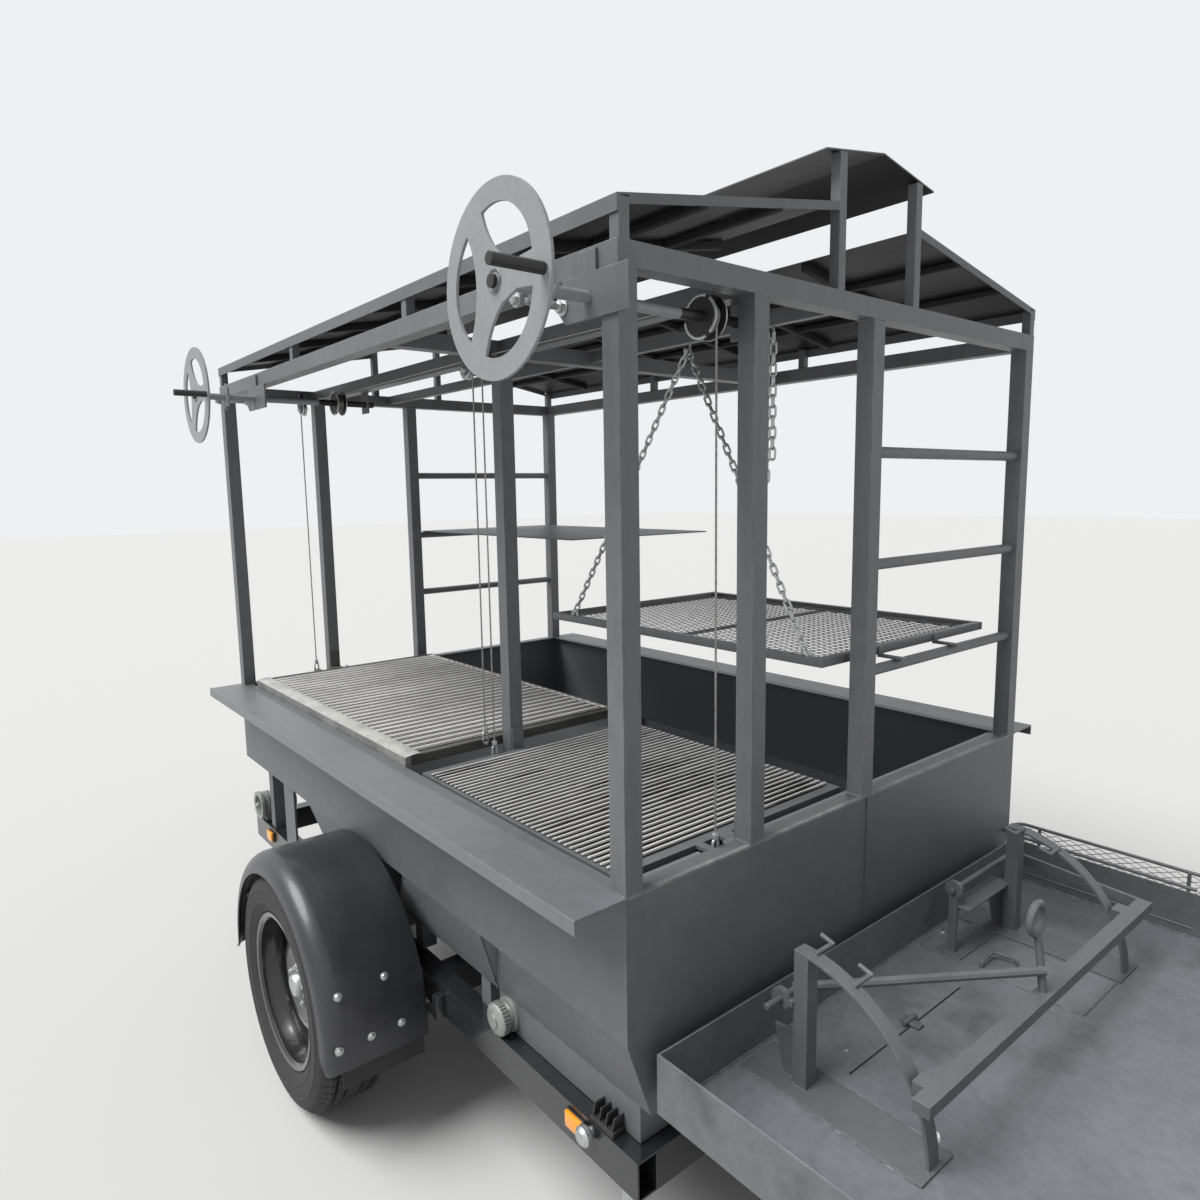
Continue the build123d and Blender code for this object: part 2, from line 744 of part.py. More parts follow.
def box_mounts():
    """Short legs that stand the hopper on the rails, and flat struts under the front of the band."""
    legs = []
    y1 = LEFT - HOPPER_INSET - 6
    for side in (1, -1):
        for from_rear in MOUNT_ROWS:
            x = REAR + from_rear
            ys = sorted((side * y1, side * (y1 - POST)))
            legs.append(block((x, x + POST), ys, (RAIL_TOP, HOPPER_FOOT)))
        width, thick = STRUT
        y2 = LEFT - RAIL_INSET
        ys = sorted((side * y2, side * (y2 + thick)))
        x = REAR + STRUT_X
        legs.append(block((x, x + width), ys, (RAIL_TOP - 50, BAND_FOOT)))
        ys = sorted((side * (y2 - RAIL_WIDTH), side * (y2 - RAIL_WIDTH + POST)))
        x = REAR + FRONT_LEG_X
        legs.append(block((x, x + POST), ys, (RAIL_TOP, BAND_FOOT)))
    return Compound(legs)


save("box_mounts", box_mounts())

# Ash boxes: name, distance from the rear face, length.
ASH_BOXES = (("rear", 30, 480), ("front", 1030, 480))
for name, start, length in ASH_BOXES:
    y = LEFT - HOPPER_INSET
    x = (REAR + start, REAR + start + length)
    z = (RAIL_TOP + 2, HOPPER_FOOT)
    box = block(x, (-y, y), z)
    box -= block((x[0] + 3, x[1] - 3), (-y + 3, y - 3), (z[0] + 3, z[1] + 1))
    save(f"ash_box_{name}", box)


def drain_cap():
    """Eight-sided flange on the rear ash box with a screwed hexagon cap."""
    flange_r = (HOPPER_FOOT - RAIL_TOP) / 2 - SEAT
    z = (HOPPER_FOOT + RAIL_TOP) / 2
    place = Plane(origin=(REAR + DRAIN_X, LEFT - HOPPER_INSET, z), z_dir=(0, 1, 0))
    flange = extrude(place * RegularPolygon(flange_r, 8), 6)
    collar = extrude(place * Circle(flange_r * 0.68), 18)
    front = place.offset(18)
    cap = extrude(front * RegularPolygon(flange_r * 0.88, 6), 28)
    return flange + collar + cap


save("drain_cap", drain_cap())


def air_inlet():
    """Flanged pipe stub on the left rail that feeds air under the fire, with its foot plate."""
    x = REAR + INLET_X
    z = RAIL_TOP + INLET_R + 16
    y1 = LEFT - RAIL_INSET + 12
    y0 = y1 - INLET_LENGTH
    flange = rod((x, y1 - INLET_RIM, z), (x, y1, z), 2 * (INLET_R + INLET_RIM), sides=24)
    pipe = tube_along_y(x, (y0, y1), z, INLET_R) + flange
    pipe -= tube_along_y(x, (y0 + 6, y1 + 1), z, INLET_R - INLET_WALL)
    foot = block((x - 25, x + 25), (y1 - 50, y1 - 20), (RAIL_TOP, z - INLET_R + INLET_WALL / 2))
    return pipe + foot


save("air_inlet", air_inlet())

BAR_Z = RAIL_TOP - 5


def drawbar():
    """Two beams that run from the rails to the coupling."""
    w, h = DRAWBAR_BEAM
    z1 = BAR_Z
    x0 = FRONT - 12
    x1 = FRONT + DRAWBAR_LENGTH
    y0 = LEFT - RAIL_INSET - RAIL_WIDTH
    beams = None
    for side in (1, -1):
        a = Vector(x0, side * y0, 0)
        b = Vector(x1, side * 40, 0)
        d = (b - a).normalized()
        n = Vector(-d.Y, d.X, 0) * (w / 2)
        pts = [a - n, b - n, b + n, a + n]
        face = make_face(Polyline(*[(p.X, p.Y, z1 - h) for p in pts], close=True))
        beam = extrude(face, h, dir=(0, 0, 1))
        beams = beam if beams is None else beams + beam
    nose = block((x1 - 90, x1 + 30), (-45, 45), (z1 - h, z1))
    behind = block((FRONT - 200, FRONT), (-LEFT, LEFT), (z1 - h - 1, z1 + 1))
    return beams + nose - behind


save("drawbar", drawbar())

NOSE_X = FRONT + DRAWBAR_LENGTH


def coupling():
    """Ball coupling head with its hand lever."""
    x = NOSE_X + 30
    ball_x = x + COUPLING_NECK
    body_top = BAR_Z + COUPLING_BODY
    body = block((x - 110, x + 60), (-30, 30), (BAR_Z, body_top))
    cup = Pos(ball_x, 0, BAR_Z + 5) * Cylinder(CUP_R, CUP_HEIGHT)
    bore_height = CUP_HEIGHT - 16
    bore = Pos(ball_x, 0, BAR_Z - 20 + bore_height / 2 - 3) * Cylinder(BALL_BORE_R, bore_height)
    lever = block((x - 60, x + 50), (-12, 12), (body_top, 2 * body_top - BAR_Z))
    return body + cup + lever - bore


save("coupling_head", coupling())

JOCKEY_X = NOSE_X - JOCKEY_BACK
JOCKEY_R = JOCKEY_DIA / 2
TUBE_FOOT = BAR_Z - 45
JOCKEY_TOP = BAR_Z + 270
STEM_FOOT = JOCKEY_DIA + JOCKEY_STEM
HUB_PIN_R = 6.4


def jockey_clamp():
    """Bridge plate on the drawbar and the fixed outer tube with its crank."""
    outer_dia, inner_dia = JOCKEY_TUBE
    x = JOCKEY_X
    half_x, half_y, thick = BRIDGE
    bridge = block((x - half_x, x + half_x), (-half_y, half_y), (BAR_Z, BAR_Z + thick))
    outer = rod((x, 0, TUBE_FOOT), (x, 0, JOCKEY_TOP), outer_dia)
    inner = rod((x, 0, TUBE_FOOT - 5), (x, 0, JOCKEY_TOP - 5), inner_dia + 1.6)
    spindle = rod((x, 0, JOCKEY_TOP - 1), (x, 0, JOCKEY_TOP + 26), 14, sides=8)
    arm_top = JOCKEY_TOP + 24
    arm = block((x - JOCKEY_CRANK - 10, x + 12), (-9, 9), (arm_top - 6, arm_top))
    handle_x = x - JOCKEY_CRANK
    handle = rod((handle_x, 0, arm_top - 1), (handle_x, 0, JOCKEY_TOP + 90), 20, sides=8)
    return bridge + outer - inner + spindle + arm + handle


save("jockey_clamp", jockey_clamp())


def jockey_tube():
    """Inner tube that carries the castor."""
    return rod((JOCKEY_X, 0, STEM_FOOT), (JOCKEY_X, 0, BAR_Z + 60), JOCKEY_TUBE[1])


save("jockey_tube", jockey_tube())


def jockey_fork():
    """Castor fork under the inner tube."""
    top = STEM_FOOT - SEAT
    wheel_x = JOCKEY_X - JOCKEY_TRAIL
    w = JOCKEY_WIDTH / 2 + 6
    fork = block((wheel_x - 28, JOCKEY_X + 26), (-w - 5, w + 5), (top - 8, top))
    for side in (1, -1):
        ys = (min(side * w, side * (w + 5)), max(side * w, side * (w + 5)))
        outline = [(wheel_x - 28, top - 7), (JOCKEY_X + 10, top - 7), (wheel_x + 20, JOCKEY_R - 20),
                   (wheel_x - 20, JOCKEY_R - 20)]
        fork += profile_xz(outline, ys)
    return fork + tube_along_y(wheel_x, (-w, w), JOCKEY_R, 6)


def jockey_wheel():
    """Solid rubber tyre on its hub."""
    w = JOCKEY_WIDTH / 2
    outline = [(HUB_PIN_R, -w), (JOCKEY_R, -w), (JOCKEY_R, w), (HUB_PIN_R, w)]
    face = make_face(Polyline(*[(px, py, 0) for px, py in outline], close=True))
    return Pos(JOCKEY_X - JOCKEY_TRAIL, 0, JOCKEY_R) * revolve(face, Axis.Y)


save("jockey_fork", jockey_fork())
save("jockey_wheel", jockey_wheel())


def axle_beam():
    """Square rubber-sprung axle under the rails, with its pads."""
    x = AXLE + ARM_LENGTH
    z1 = RAIL_TOP - RAIL_HEIGHT - 6
    y = LEFT + 20
    beam = block((x - AXLE_BEAM / 2, x + AXLE_BEAM / 2), (-y, y), (z1 - AXLE_BEAM, z1))
    for side in (1, -1):
        yc = side * (LEFT - RAIL_INSET - RAIL_WIDTH / 2)
        beam += block((x - 60, x + 60), (yc - 40, yc + 40), (z1 - 0.5, z1 + 6))
    return beam


save("axle_beam", axle_beam())


def swing_arm(side):
    """Trailing arm from the axle end to the stub that carries the hub."""
    x0 = AXLE + ARM_LENGTH
    z0 = RAIL_TOP - RAIL_HEIGHT - 6 - AXLE_BEAM / 2
    y0 = LEFT + 20
    y1 = y0 + 24
    d = Vector(AXLE - x0, 0, TYRE_R - z0)
    n = Vector(-d.Z, 0, d.X).normalized() * 26
    a = Vector(x0, 0, z0) - d.normalized() * 30
    b = Vector(AXLE, 0, TYRE_R) + d.normalized() * 26
    pts = [(p.X, p.Z) for p in (a - n, b - n, b + n, a + n)]
    ys = sorted((side * y0, side * y1))
    arm = profile_xz(pts, ys)
    stub_y = sorted((side * (y1 - 1), side * (WHEEL_Y + 20)))
    arm += tube_along_y(AXLE, stub_y, TYRE_R, 15)
    return arm


BEAD_R = RIM_DIA / 2 - 14


def tyre(side):
    """Road tyre with flat tread, bevelled shoulders and bulged walls, open where the rim sits."""
    h = TYRE_WIDTH / 2
    r = TYRE_R
    bead = h * BEAD_SHARE
    tread = h * TREAD_SHARE
    outline = [(BEAD_R, -bead), (r - TYRE_BULGE, -h), (r, -tread), (r, tread), (r - TYRE_BULGE, h),
               (BEAD_R, bead)]
    face = make_face(Polyline(*[(px, py, 0) for px, py in outline], close=True))
    return Pos(AXLE, side * WHEEL_Y, TYRE_R) * revolve(face, Axis.Y)


HUB_BORE = 15.5
VENTS = 8
VENT_RING = 142
VENT_R = 15
DISH_CROWN = 32
HUB_R = 58


def wheel_rim(side):
    """Pressed steel rim with a dished, vented disc and a hub."""
    h = TYRE_WIDTH / 2 * BEAD_SHARE
    disc_r = VENT_RING - VENT_R - 5
    crown = DISH_CROWN
    barrel = [(BEAD_R - 6, -h), (BEAD_R, -h), (BEAD_R, h), (BEAD_R - 6, h)]
    dish = [(HUB_BORE, crown - 6), (disc_r - 6, crown - 6), (disc_r - 6, 0), (BEAD_R - 5, 0), (BEAD_R - 5, 6),
            (disc_r, 6), (disc_r, crown), (HUB_BORE, crown)]
    hub = [(HUB_BORE, -34), (HUB_R, -34), (HUB_R, crown - 5), (HUB_BORE, crown - 5)]
    rim = None
    for outline in (barrel, dish, hub):
        face = make_face(Polyline(*[(px, side * py, 0) for px, py in outline], close=True))
        piece = revolve(face, Axis.Y)
        rim = piece if rim is None else rim + piece
    for vent in range(VENTS):
        across, up = polar(vent * 360 / VENTS, VENT_RING)
        place = Plane(origin=(across, -h, up), z_dir=(0, 1, 0))
        rim -= extrude(place * RegularPolygon(VENT_R, 6), 2 * h)
    return Pos(AXLE, side * WHEEL_Y, TYRE_R) * rim


def mudguard(side):
    """Plastic half-round guard with a turned-down outer shoulder and a flap."""
    r = TYRE_R + GUARD_GAP
    y_in = LEFT + 14
    y_out = y_in + GUARD_WIDTH
    s = GUARD_SHEET
    turn, drop = GUARD_SHOULDER
    pts = [(r, y_in), (r + s, y_in), (r + s, y_out - turn), (r - drop, y_out), (r - drop, y_out - s),
           (r, y_out - turn - s)]
    face = make_face(Polyline(*[(px, side * py, 0) for px, py in pts], close=True))
    half = revolve(face, Axis.Y, 180)
    if half.bounding_box().max.Z < 1:
        half = Rot(0, 180, 0) * half
    ys = sorted((side * y_in, side * y_out))
    flap = block((-r - s, -r), ys, (-GUARD_FLAP, 2))
    return Pos(AXLE, 0, TYRE_R) * (half + flap)


def guard_bracket(side):
    """Bars from the rail that hold the mudguard's ends, at the height of the wheel's centre."""
    solids = []
    y0 = LEFT - RAIL_INSET
    y1 = LEFT + 14 + GUARD_WIDTH * 0.7
    ys = sorted((side * y0, side * y1))
    reach = TYRE_R + GUARD_GAP + GUARD_SHEET + SEAT
    drop = sorted((side * y0, side * (y0 + BRACKET_TUBE)))
    z0 = TYRE_R + 4
    for x in (AXLE - reach - BRACKET_TUBE, AXLE + reach):
        bar = block((x, x + BRACKET_TUBE), ys, (z0, z0 + BRACKET_TUBE))
        bar += block((x, x + BRACKET_TUBE), drop, (z0, RAIL_TOP - 20))
        solids.append(bar)
    return Compound(solids)


for name, side in (("left", 1), ("right", -1)):
    save(f"swing_arm_{name}", swing_arm(side))
    save(f"tyre_{name}", tyre(side))
    save(f"wheel_rim_{name}", wheel_rim(side))
    save(f"mudguard_{name}", mudguard(side))
    save(f"guard_bracket_{name}", guard_bracket(side))

TRAY_X1 = REAR - TRAY_GAP
TRAY_X0 = TRAY_X1 - TRAY_LENGTH
TRAY_Y = LEFT - TRAY_SIDE_INSET


def tray():
    """Open steel tray for the fire behind the box."""
    z0 = TRAY_FLOOR_Z
    t = SHEET
    outer = block((TRAY_X0, TRAY_X1), (-TRAY_Y, TRAY_Y), (z0 - t, z0 + TRAY_WALL))
    pit_x = (TRAY_X0 + t, TRAY_X1 - t)
    return outer - block(pit_x, (-TRAY_Y + t, TRAY_Y - t), (z0, z0 + TRAY_WALL + 1))


save("fire_tray", tray())


def tray_carrier():
    """Uprights on the rear cross member and two bearers under the tray."""
    solids = None
    top = TRAY_FLOOR_Z - SHEET
    half = BEARER / 2
    for side in (1, -1):
        ys = (side * BEARER_Y - half, side * BEARER_Y + half)
        piece = block((TRAY_X0 + 60, REAR), ys, (top - BEARER, top))
        piece += block((REAR - BEARER, REAR), ys, (RAIL_TOP - RAIL_HEIGHT, top - BEARER + 1))
        solids = piece if solids is None else solids + piece
    return solids


save("tray_carrier", tray_carrier())


def tail_lamps():
    """Cross bar on the bearers' rear ends with a lamp at each side."""
    x1 = TRAY_X0 + 60 - SEAT
    top = TRAY_FLOOR_Z - SHEET - SEAT
    y = BEARER_Y + LAMP[0]
    bar = block((x1 - 34, x1), (-y, y), (top - 34, top))
    length, depth, height = LAMP
    for side in (1, -1):
        ys = sorted((side * (y - length), side * y))
        body = block((x1 - 34 - depth, x1 - 33), ys, (top - height, top))
        bar += fillet(body.edges().filter_by(Axis.X), 12)
    return bar


save("tail_lamps", tail_lamps())


def side_markers():
    """Marker lamps on the outer faces of the rails."""
    length, depth, height = MARKER
    y = LEFT - RAIL_INSET
    top = RAIL_TOP - 12
    solids = []
    for from_rear in (155, INLET_X - 130):
        for side in (1, -1):
            ys = sorted((side * (y + SEAT), side * (y + depth)))
            x = REAR + from_rear
            solids.append(block((x, x + length), ys, (top - height, top)))
    return Compound(solids)


save("side_markers", side_markers())

PIVOT_X = REAR - EYE_X
PIVOT_Z = TRAY_FLOOR_Z + EYE_Z


def bent_hook(x, y, z, inwards):
    """Round bar welded on the arc, bent forward at its end."""
    end = y + inwards * 50
    return rod((x, y, z), (x, end, z), 9, sides=6) + rod((x - 4, end, z), (x + 24, end, z + 8), 9, sides=6)


def arc_stand(y, eye_y):
    """Base plate, post and quarter circle of flat bar; the eye takes the frame's pin."""
    width, thick = ARC_BAR
    ys = (y - width / 2, y + width / 2)
    z0 = TRAY_FLOOR_Z + STAND_PLATE
    arc_x = REAR - ARC_X
    inwards = -1 if y > 0 else 1
    stand = block((arc_x - ARC_R - 6, REAR - 50), (y - 48, y + 48), (TRAY_FLOOR_Z, z0))
    ring = tube_along_y(arc_x, ys, TRAY_FLOOR_Z, ARC_R, ARC_R - thick)
    stand += ring & block((arc_x - ARC_R - 1, arc_x + 2), ys, (z0 - 1, TRAY_FLOOR_Z + ARC_R + 1))
    face_x = arc_x + 2
    stand += block((face_x - ARC_POST, face_x), ys, (z0 - 1, TRAY_FLOOR_Z + ARC_R - thick / 2))
    gusset = [(face_x - 1, z0 + 95), (face_x + 51, z0 + 88), (face_x + 30, z0 - 1), (face_x - 1, z0 - 1)]
    stand += profile_xz(gusset, (y - 3, y + 3))
    for from_arc in (113, 33):
        rise = math.sqrt(ARC_R ** 2 - from_arc ** 2)
        stand += bent_hook(arc_x - from_arc, y, TRAY_FLOOR_Z + rise + 3, inwards)
    eye_ys = (eye_y - EYE_WIDTH / 2, eye_y + EYE_WIDTH / 2)
    bore_ys = (eye_y - EYE_WIDTH, eye_y + EYE_WIDTH)
    stand += tube_along_y(PIVOT_X, eye_ys, PIVOT_Z, EYE_R)
    if abs(eye_y - y) < width:
        stand += block((face_x - 1, PIVOT_X), eye_ys, (PIVOT_Z - 6, PIVOT_Z + 6))
    else:
        stand += block((PIVOT_X - 30, PIVOT_X + 30), sorted((y, eye_y + inwards * 20)), (TRAY_FLOOR_Z, z0))
        stand += block((PIVOT_X - 9, PIVOT_X + 9), eye_ys, (z0 - 1, PIVOT_Z - 4))
        stand += block((face_x - 10, PIVOT_X + 9), sorted((y, eye_y)), (PIVOT_Z - 44, PIVOT_Z - 39))
    return stand - tube_along_y(PIVOT_X, bore_ys, PIVOT_Z, PIN_DIA / 2 + PIN_RUN)


for name, y, eye_y in STANDS:
    save(f"arc_stand_{name}", arc_stand(y, eye_y))


def spit_frame():
    """Tilting frame: pins in the eyes, side arm, cross bar at the arcs, brace, and ring for the spit."""
    width, height = FRAME_BAR
    bar_x = REAR - FRAME_X
    bar_z = TRAY_FLOOR_Z + FRAME_Z
    left_y = STANDS[0][1] + ARC_BAR[0] / 2
    right_y = STANDS[1][1] - ARC_BAR[0] / 2
    y0, y1 = right_y - FRAME_OUT - 24, left_y + FRAME_OUT
    bar_zs = (bar_z - height / 2, bar_z + height / 2)
    frame = block((bar_x - width / 2, bar_x + width / 2), (y0, y1), bar_zs)
    touch = math.sqrt(ARC_R ** 2 - (FRAME_Z - height / 2) ** 2)
    for side_y in (STANDS[0][1], STANDS[1][1]):
        frame += block((bar_x, REAR - ARC_X - touch - SEAT - 0.2), (side_y - 20, side_y + 20), bar_zs)
    arm_y = (y0, y0 + 8)
    arm = [(PIVOT_X + 12, PIVOT_Z - 12), (PIVOT_X + 12, PIVOT_Z + 12), (bar_x, bar_z + height / 2),
           (bar_x, bar_z - height / 2)]
    frame += profile_xz(arm, arm_y)
    frame += tube_along_y(PIVOT_X, (y0 + 1, STANDS[1][2] + 16), PIVOT_Z, PIN_DIA / 2)
    pin_end = STANDS[0][1] - ARC_BAR[0]
    frame += tube_along_y(PIVOT_X, (pin_end - 4, STANDS[0][2] + 45), PIVOT_Z, PIN_DIA / 2)
    knot = (bar_x, RING_Y, TRAY_FLOOR_Z + FRAME_Z + 54)
    frame += rod((PIVOT_X + 6, pin_end + 4, PIVOT_Z), knot, BRACE_DIA, sides=8)
    ring_z = TRAY_FLOOR_Z + RING_Z
    frame += rod((bar_x, RING_Y, bar_z), (bar_x + 16, RING_Y, ring_z - RING_R), BRACE_DIA - 2, sides=8)
    wire = make_face(Pos(RING_R, 0, 0) * RegularPolygon(RING_DIA / 2, 6))
    return frame + Pos(bar_x + 20, RING_Y, ring_z) * Rot(0, 0, 90) * revolve(wire, Axis.Y)


save("spit_frame", spit_frame())

STEADY_X = REAR + STEADY_BACK
STEADY_PIN_Z = RAIL_TOP - STEADY_DROP


def steady(side):
    """Fold-down leg on the inner face of a rail."""
    y1 = LEFT - RAIL_INSET - RAIL_WIDTH - 6
    y0 = y1 - STEADY_TUBE
    ys = sorted((side * y0, side * y1))
    leg = block((STEADY_X - 20, STEADY_X + 20), ys, (6, STEADY_PIN_Z + 30))
    yf = sorted((side * (y0 - 30), side * y1))
    foot = block((STEADY_X - 40, STEADY_X + 40), yf, (0, 6.5))
    pin = tube_along_y(STEADY_X, sorted((side * (y0 - 4), side * (y1 + 5.7))), STEADY_PIN_Z, 8)
    return leg + foot + pin


save("steady_left", steady(1))
save("steady_right", steady(-1))
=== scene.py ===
import math

import bmesh
import bpy
from mathutils import Matrix, Vector


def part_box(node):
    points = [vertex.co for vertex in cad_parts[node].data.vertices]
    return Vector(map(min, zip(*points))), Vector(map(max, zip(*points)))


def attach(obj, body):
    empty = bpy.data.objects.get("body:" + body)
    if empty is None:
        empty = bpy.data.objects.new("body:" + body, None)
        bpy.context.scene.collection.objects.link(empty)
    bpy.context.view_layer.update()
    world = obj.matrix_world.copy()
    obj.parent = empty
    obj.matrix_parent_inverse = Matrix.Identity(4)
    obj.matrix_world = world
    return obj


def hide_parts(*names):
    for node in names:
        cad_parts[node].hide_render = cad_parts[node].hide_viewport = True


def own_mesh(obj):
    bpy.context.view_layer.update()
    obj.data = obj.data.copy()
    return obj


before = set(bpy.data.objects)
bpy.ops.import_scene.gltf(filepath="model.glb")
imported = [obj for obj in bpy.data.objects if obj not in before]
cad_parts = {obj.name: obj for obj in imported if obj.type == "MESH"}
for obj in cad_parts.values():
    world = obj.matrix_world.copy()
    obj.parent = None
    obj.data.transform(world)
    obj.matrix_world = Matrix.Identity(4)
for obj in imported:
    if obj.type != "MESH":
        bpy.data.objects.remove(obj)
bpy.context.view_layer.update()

# Camera and studio. The view stands off the trailer's left rear corner at head height,
# looking a little down; the floor, the world and one broad lamp give plain soft light.
scene = bpy.context.scene
scene.view_settings.view_transform = "Standard"

EYE_PLACE = Vector((-2.3265, 1.594, 1.603))
EYE_AHEAD = Vector((0.7740, -0.6332, 0))
EYE_DOWN = math.radians(7.56)
EYE_ROLL = math.radians(0.932)
EYE_LENS = 24.725


def build_camera():
    """Camera at the solved place, with its roll."""
    look = EYE_AHEAD.normalized() * math.cos(EYE_DOWN) - Vector((0, 0, math.sin(EYE_DOWN)))
    right = look.cross(Vector((0, 0, 1))).normalized()
    up = right.cross(look)
    tilted_right = right * math.cos(EYE_ROLL) - up * math.sin(EYE_ROLL)
    tilted_up = right * math.sin(EYE_ROLL) + up * math.cos(EYE_ROLL)
    data = bpy.data.cameras.new("camera")
    data.lens = EYE_LENS
    data.sensor_width = 36
    data.clip_start = 0.02
    data.clip_end = 200
    camera = bpy.data.objects.new("camera", data)
    scene.collection.objects.link(camera)
    turn = Matrix((tilted_right, tilted_up, -look)).transposed()
    camera.matrix_world = Matrix.Translation(EYE_PLACE) @ turn.to_4x4()
    scene.camera = camera


build_camera()


class Wire:
    """A socket of one node tree: operators add Math nodes, and node() adds any other node."""

    def __init__(self, tree, socket=None):
        self.tree = tree
        self.socket = socket

    def give(self, target, value):
        """Sets a socket to a value, or links a wire to it."""
        if isinstance(value, Wire):
            self.tree.links.new(value.socket, target)
        elif target.type == "RGBA" and len(value) == 3:
            target.default_value = (*value, 1)
        else:
            target.default_value = value

    def node(self, kind, settings=None, inputs=None, output=0):
        """New node: settings first, then the values or links of its sockets."""
        made = self.tree.nodes.new(kind)
        for name, value in (settings or {}).items():
            setattr(made, name, value)
        for name, value in (inputs or {}).items():
            self.give(made.inputs[name], value)
        return Wire(self.tree, made.outputs[output] if len(made.outputs) else None)

    def sister(self, output):
        """Another output of the same node."""
        return Wire(self.tree, self.socket.node.outputs[output])

    def maths(self, operation, first, second=0.0):
        """Math node of one operation."""
        return self.node("ShaderNodeMath", {"operation": operation}, {0: first, 1: second})

    def __add__(self, other):
        return self.maths("ADD", self, other)

    def __radd__(self, other):
        return self.maths("ADD", other, self)

    def __sub__(self, other):
        return self.maths("SUBTRACT", self, other)

    def __rsub__(self, other):
        return self.maths("SUBTRACT", other, self)

    def __mul__(self, other):
        return self.maths("MULTIPLY", self, other)

    def __rmul__(self, other):
        return self.maths("MULTIPLY", other, self)

    def __truediv__(self, other):
        return self.maths("DIVIDE", self, other)

    def __rtruediv__(self, other):
        return self.maths("DIVIDE", other, self)

    def __mod__(self, other):
        return self.maths("MODULO", self, other)

    def __rmod__(self, other):
        return self.maths("MODULO", other, self)

    def step(self, low, high, to_low=0.0, to_high=1.0):
        """Straight ramp between two values, held flat outside them."""
        sizes = {"Value": self, "From Min": low, "From Max": high, "To Min": to_low, "To Max": to_high}
        return self.node("ShaderNodeMapRange", {"clamp": True}, sizes)

    def mix(self, first, second):
        """Colour mixed by this wire as the factor."""
        return self.node("ShaderNodeMix", {"data_type": "RGBA"}, {0: self, 6: first, 7: second}, 2)

    def split(self):
        """The three parts of this vector."""
        x = self.node("ShaderNodeSeparateXYZ", inputs={0: self})
        return x, x.sister("Y"), x.sister("Z")

    def join(self, x=0.0, y=0.0, z=0.0):
        """New vector of three numbers or wires in this wire's tree."""
        return self.node("ShaderNodeCombineXYZ", inputs={"X": x, "Y": y, "Z": z})


FLOOR_COLOUR = (0.52, 0.52, 0.515)
BACKGROUND = (0.86, 0.87, 0.88)
SKY_STRENGTH = 0.49
LAMP_STRENGTH = 4.0
LAMP_AIM = Vector((-0.30, -0.76, -1.20))
LAMP_SPREAD = math.radians(40)
FLOOR_HALF = 40


def build_studio():
    """Pale floor, even sky light with a plain background, and one broad lamp from the left."""
    world = bpy.data.worlds.new("studio")
    scene.world = world
    world.use_nodes = True
    world.node_tree.nodes.clear()
    sky = Wire(world.node_tree)
    path = sky.node("ShaderNodeLightPath", output="Is Camera Ray")
    seen = path + path.sister("Is Glossy Ray") + path.sister("Is Transmission Ray")
    light = sky.node("ShaderNodeBackground", inputs={"Color": (1, 1, 1), "Strength": SKY_STRENGTH})
    shown = sky.node("ShaderNodeBackground", inputs={"Color": BACKGROUND, "Strength": 1.0})
    both = sky.node("ShaderNodeMixShader", inputs={0: seen.step(0, 1), 1: light, 2: shown})
    sky.node("ShaderNodeOutputWorld", inputs={"Surface": both})
    floor_mesh = bpy.data.meshes.new("floor")
    corners = [(-FLOOR_HALF, -FLOOR_HALF, 0), (FLOOR_HALF, -FLOOR_HALF, 0),
               (FLOOR_HALF, FLOOR_HALF, 0), (-FLOOR_HALF, FLOOR_HALF, 0)]
    floor_mesh.from_pydata(corners, [], [(0, 1, 2, 3)])
    floor = bpy.data.objects.new("floor", floor_mesh)
    scene.collection.objects.link(floor)
    paint = bpy.data.materials.new("floor")
    paint.use_nodes = True
    plain = paint.node_tree.nodes["Principled BSDF"]
    plain.inputs["Base Color"].default_value = (*FLOOR_COLOUR, 1)
    plain.inputs["Roughness"].default_value = 0.9
    floor_mesh.materials.append(paint)
    lamp_data = bpy.data.lights.new("lamp", "SUN")
    lamp_data.energy = LAMP_STRENGTH
    lamp_data.angle = LAMP_SPREAD
    lamp = bpy.data.objects.new("lamp", lamp_data)
    scene.collection.objects.link(lamp)
    lamp.rotation_euler = LAMP_AIM.to_track_quat("-Z", "Y").to_euler()


build_studio()

# Fire box, ledges, mounts and ash boxes. Four millimetre plate, folded and welded, sprayed with
# satin charcoal heat paint. The inside is greyed by ash. The ledges carry a lighter copy of the paint with
# bright edges, which paints in sky light on their tops and highlights along their edges, over rubbed paint;
# the rear rim's outer edge has a painted highlight over rubbed paint too.
LEDGE_LOW, LEDGE_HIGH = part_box("ledge_left")
REAR = LEDGE_LOW.x
FRONT = LEDGE_HIGH.x
LEFT = LEDGE_LOW.y
RIM = LEDGE_HIGH.z
CHARCOAL = (0.098, 0.102, 0.112)
CHARCOAL_LIGHT = (0.128, 0.133, 0.145)
RUBBED = (0.24, 0.24, 0.24)
ASHEN = (0.125, 0.130, 0.142)
SHEET = 0.004
BAND_HEIGHT = 0.278
HOPPER_HEIGHT = 0.160
HOPPER_INSET = 0.055
ASH_FOOT = 0.635        # just above the band's foot
PLEATS = ((0.414, 0.496, 0.518), (0.872, 1.004, 1.022))     # each one's rear top, front top and foot
CRISP = 0.0004      # width over which a mask comes in at a sharp border


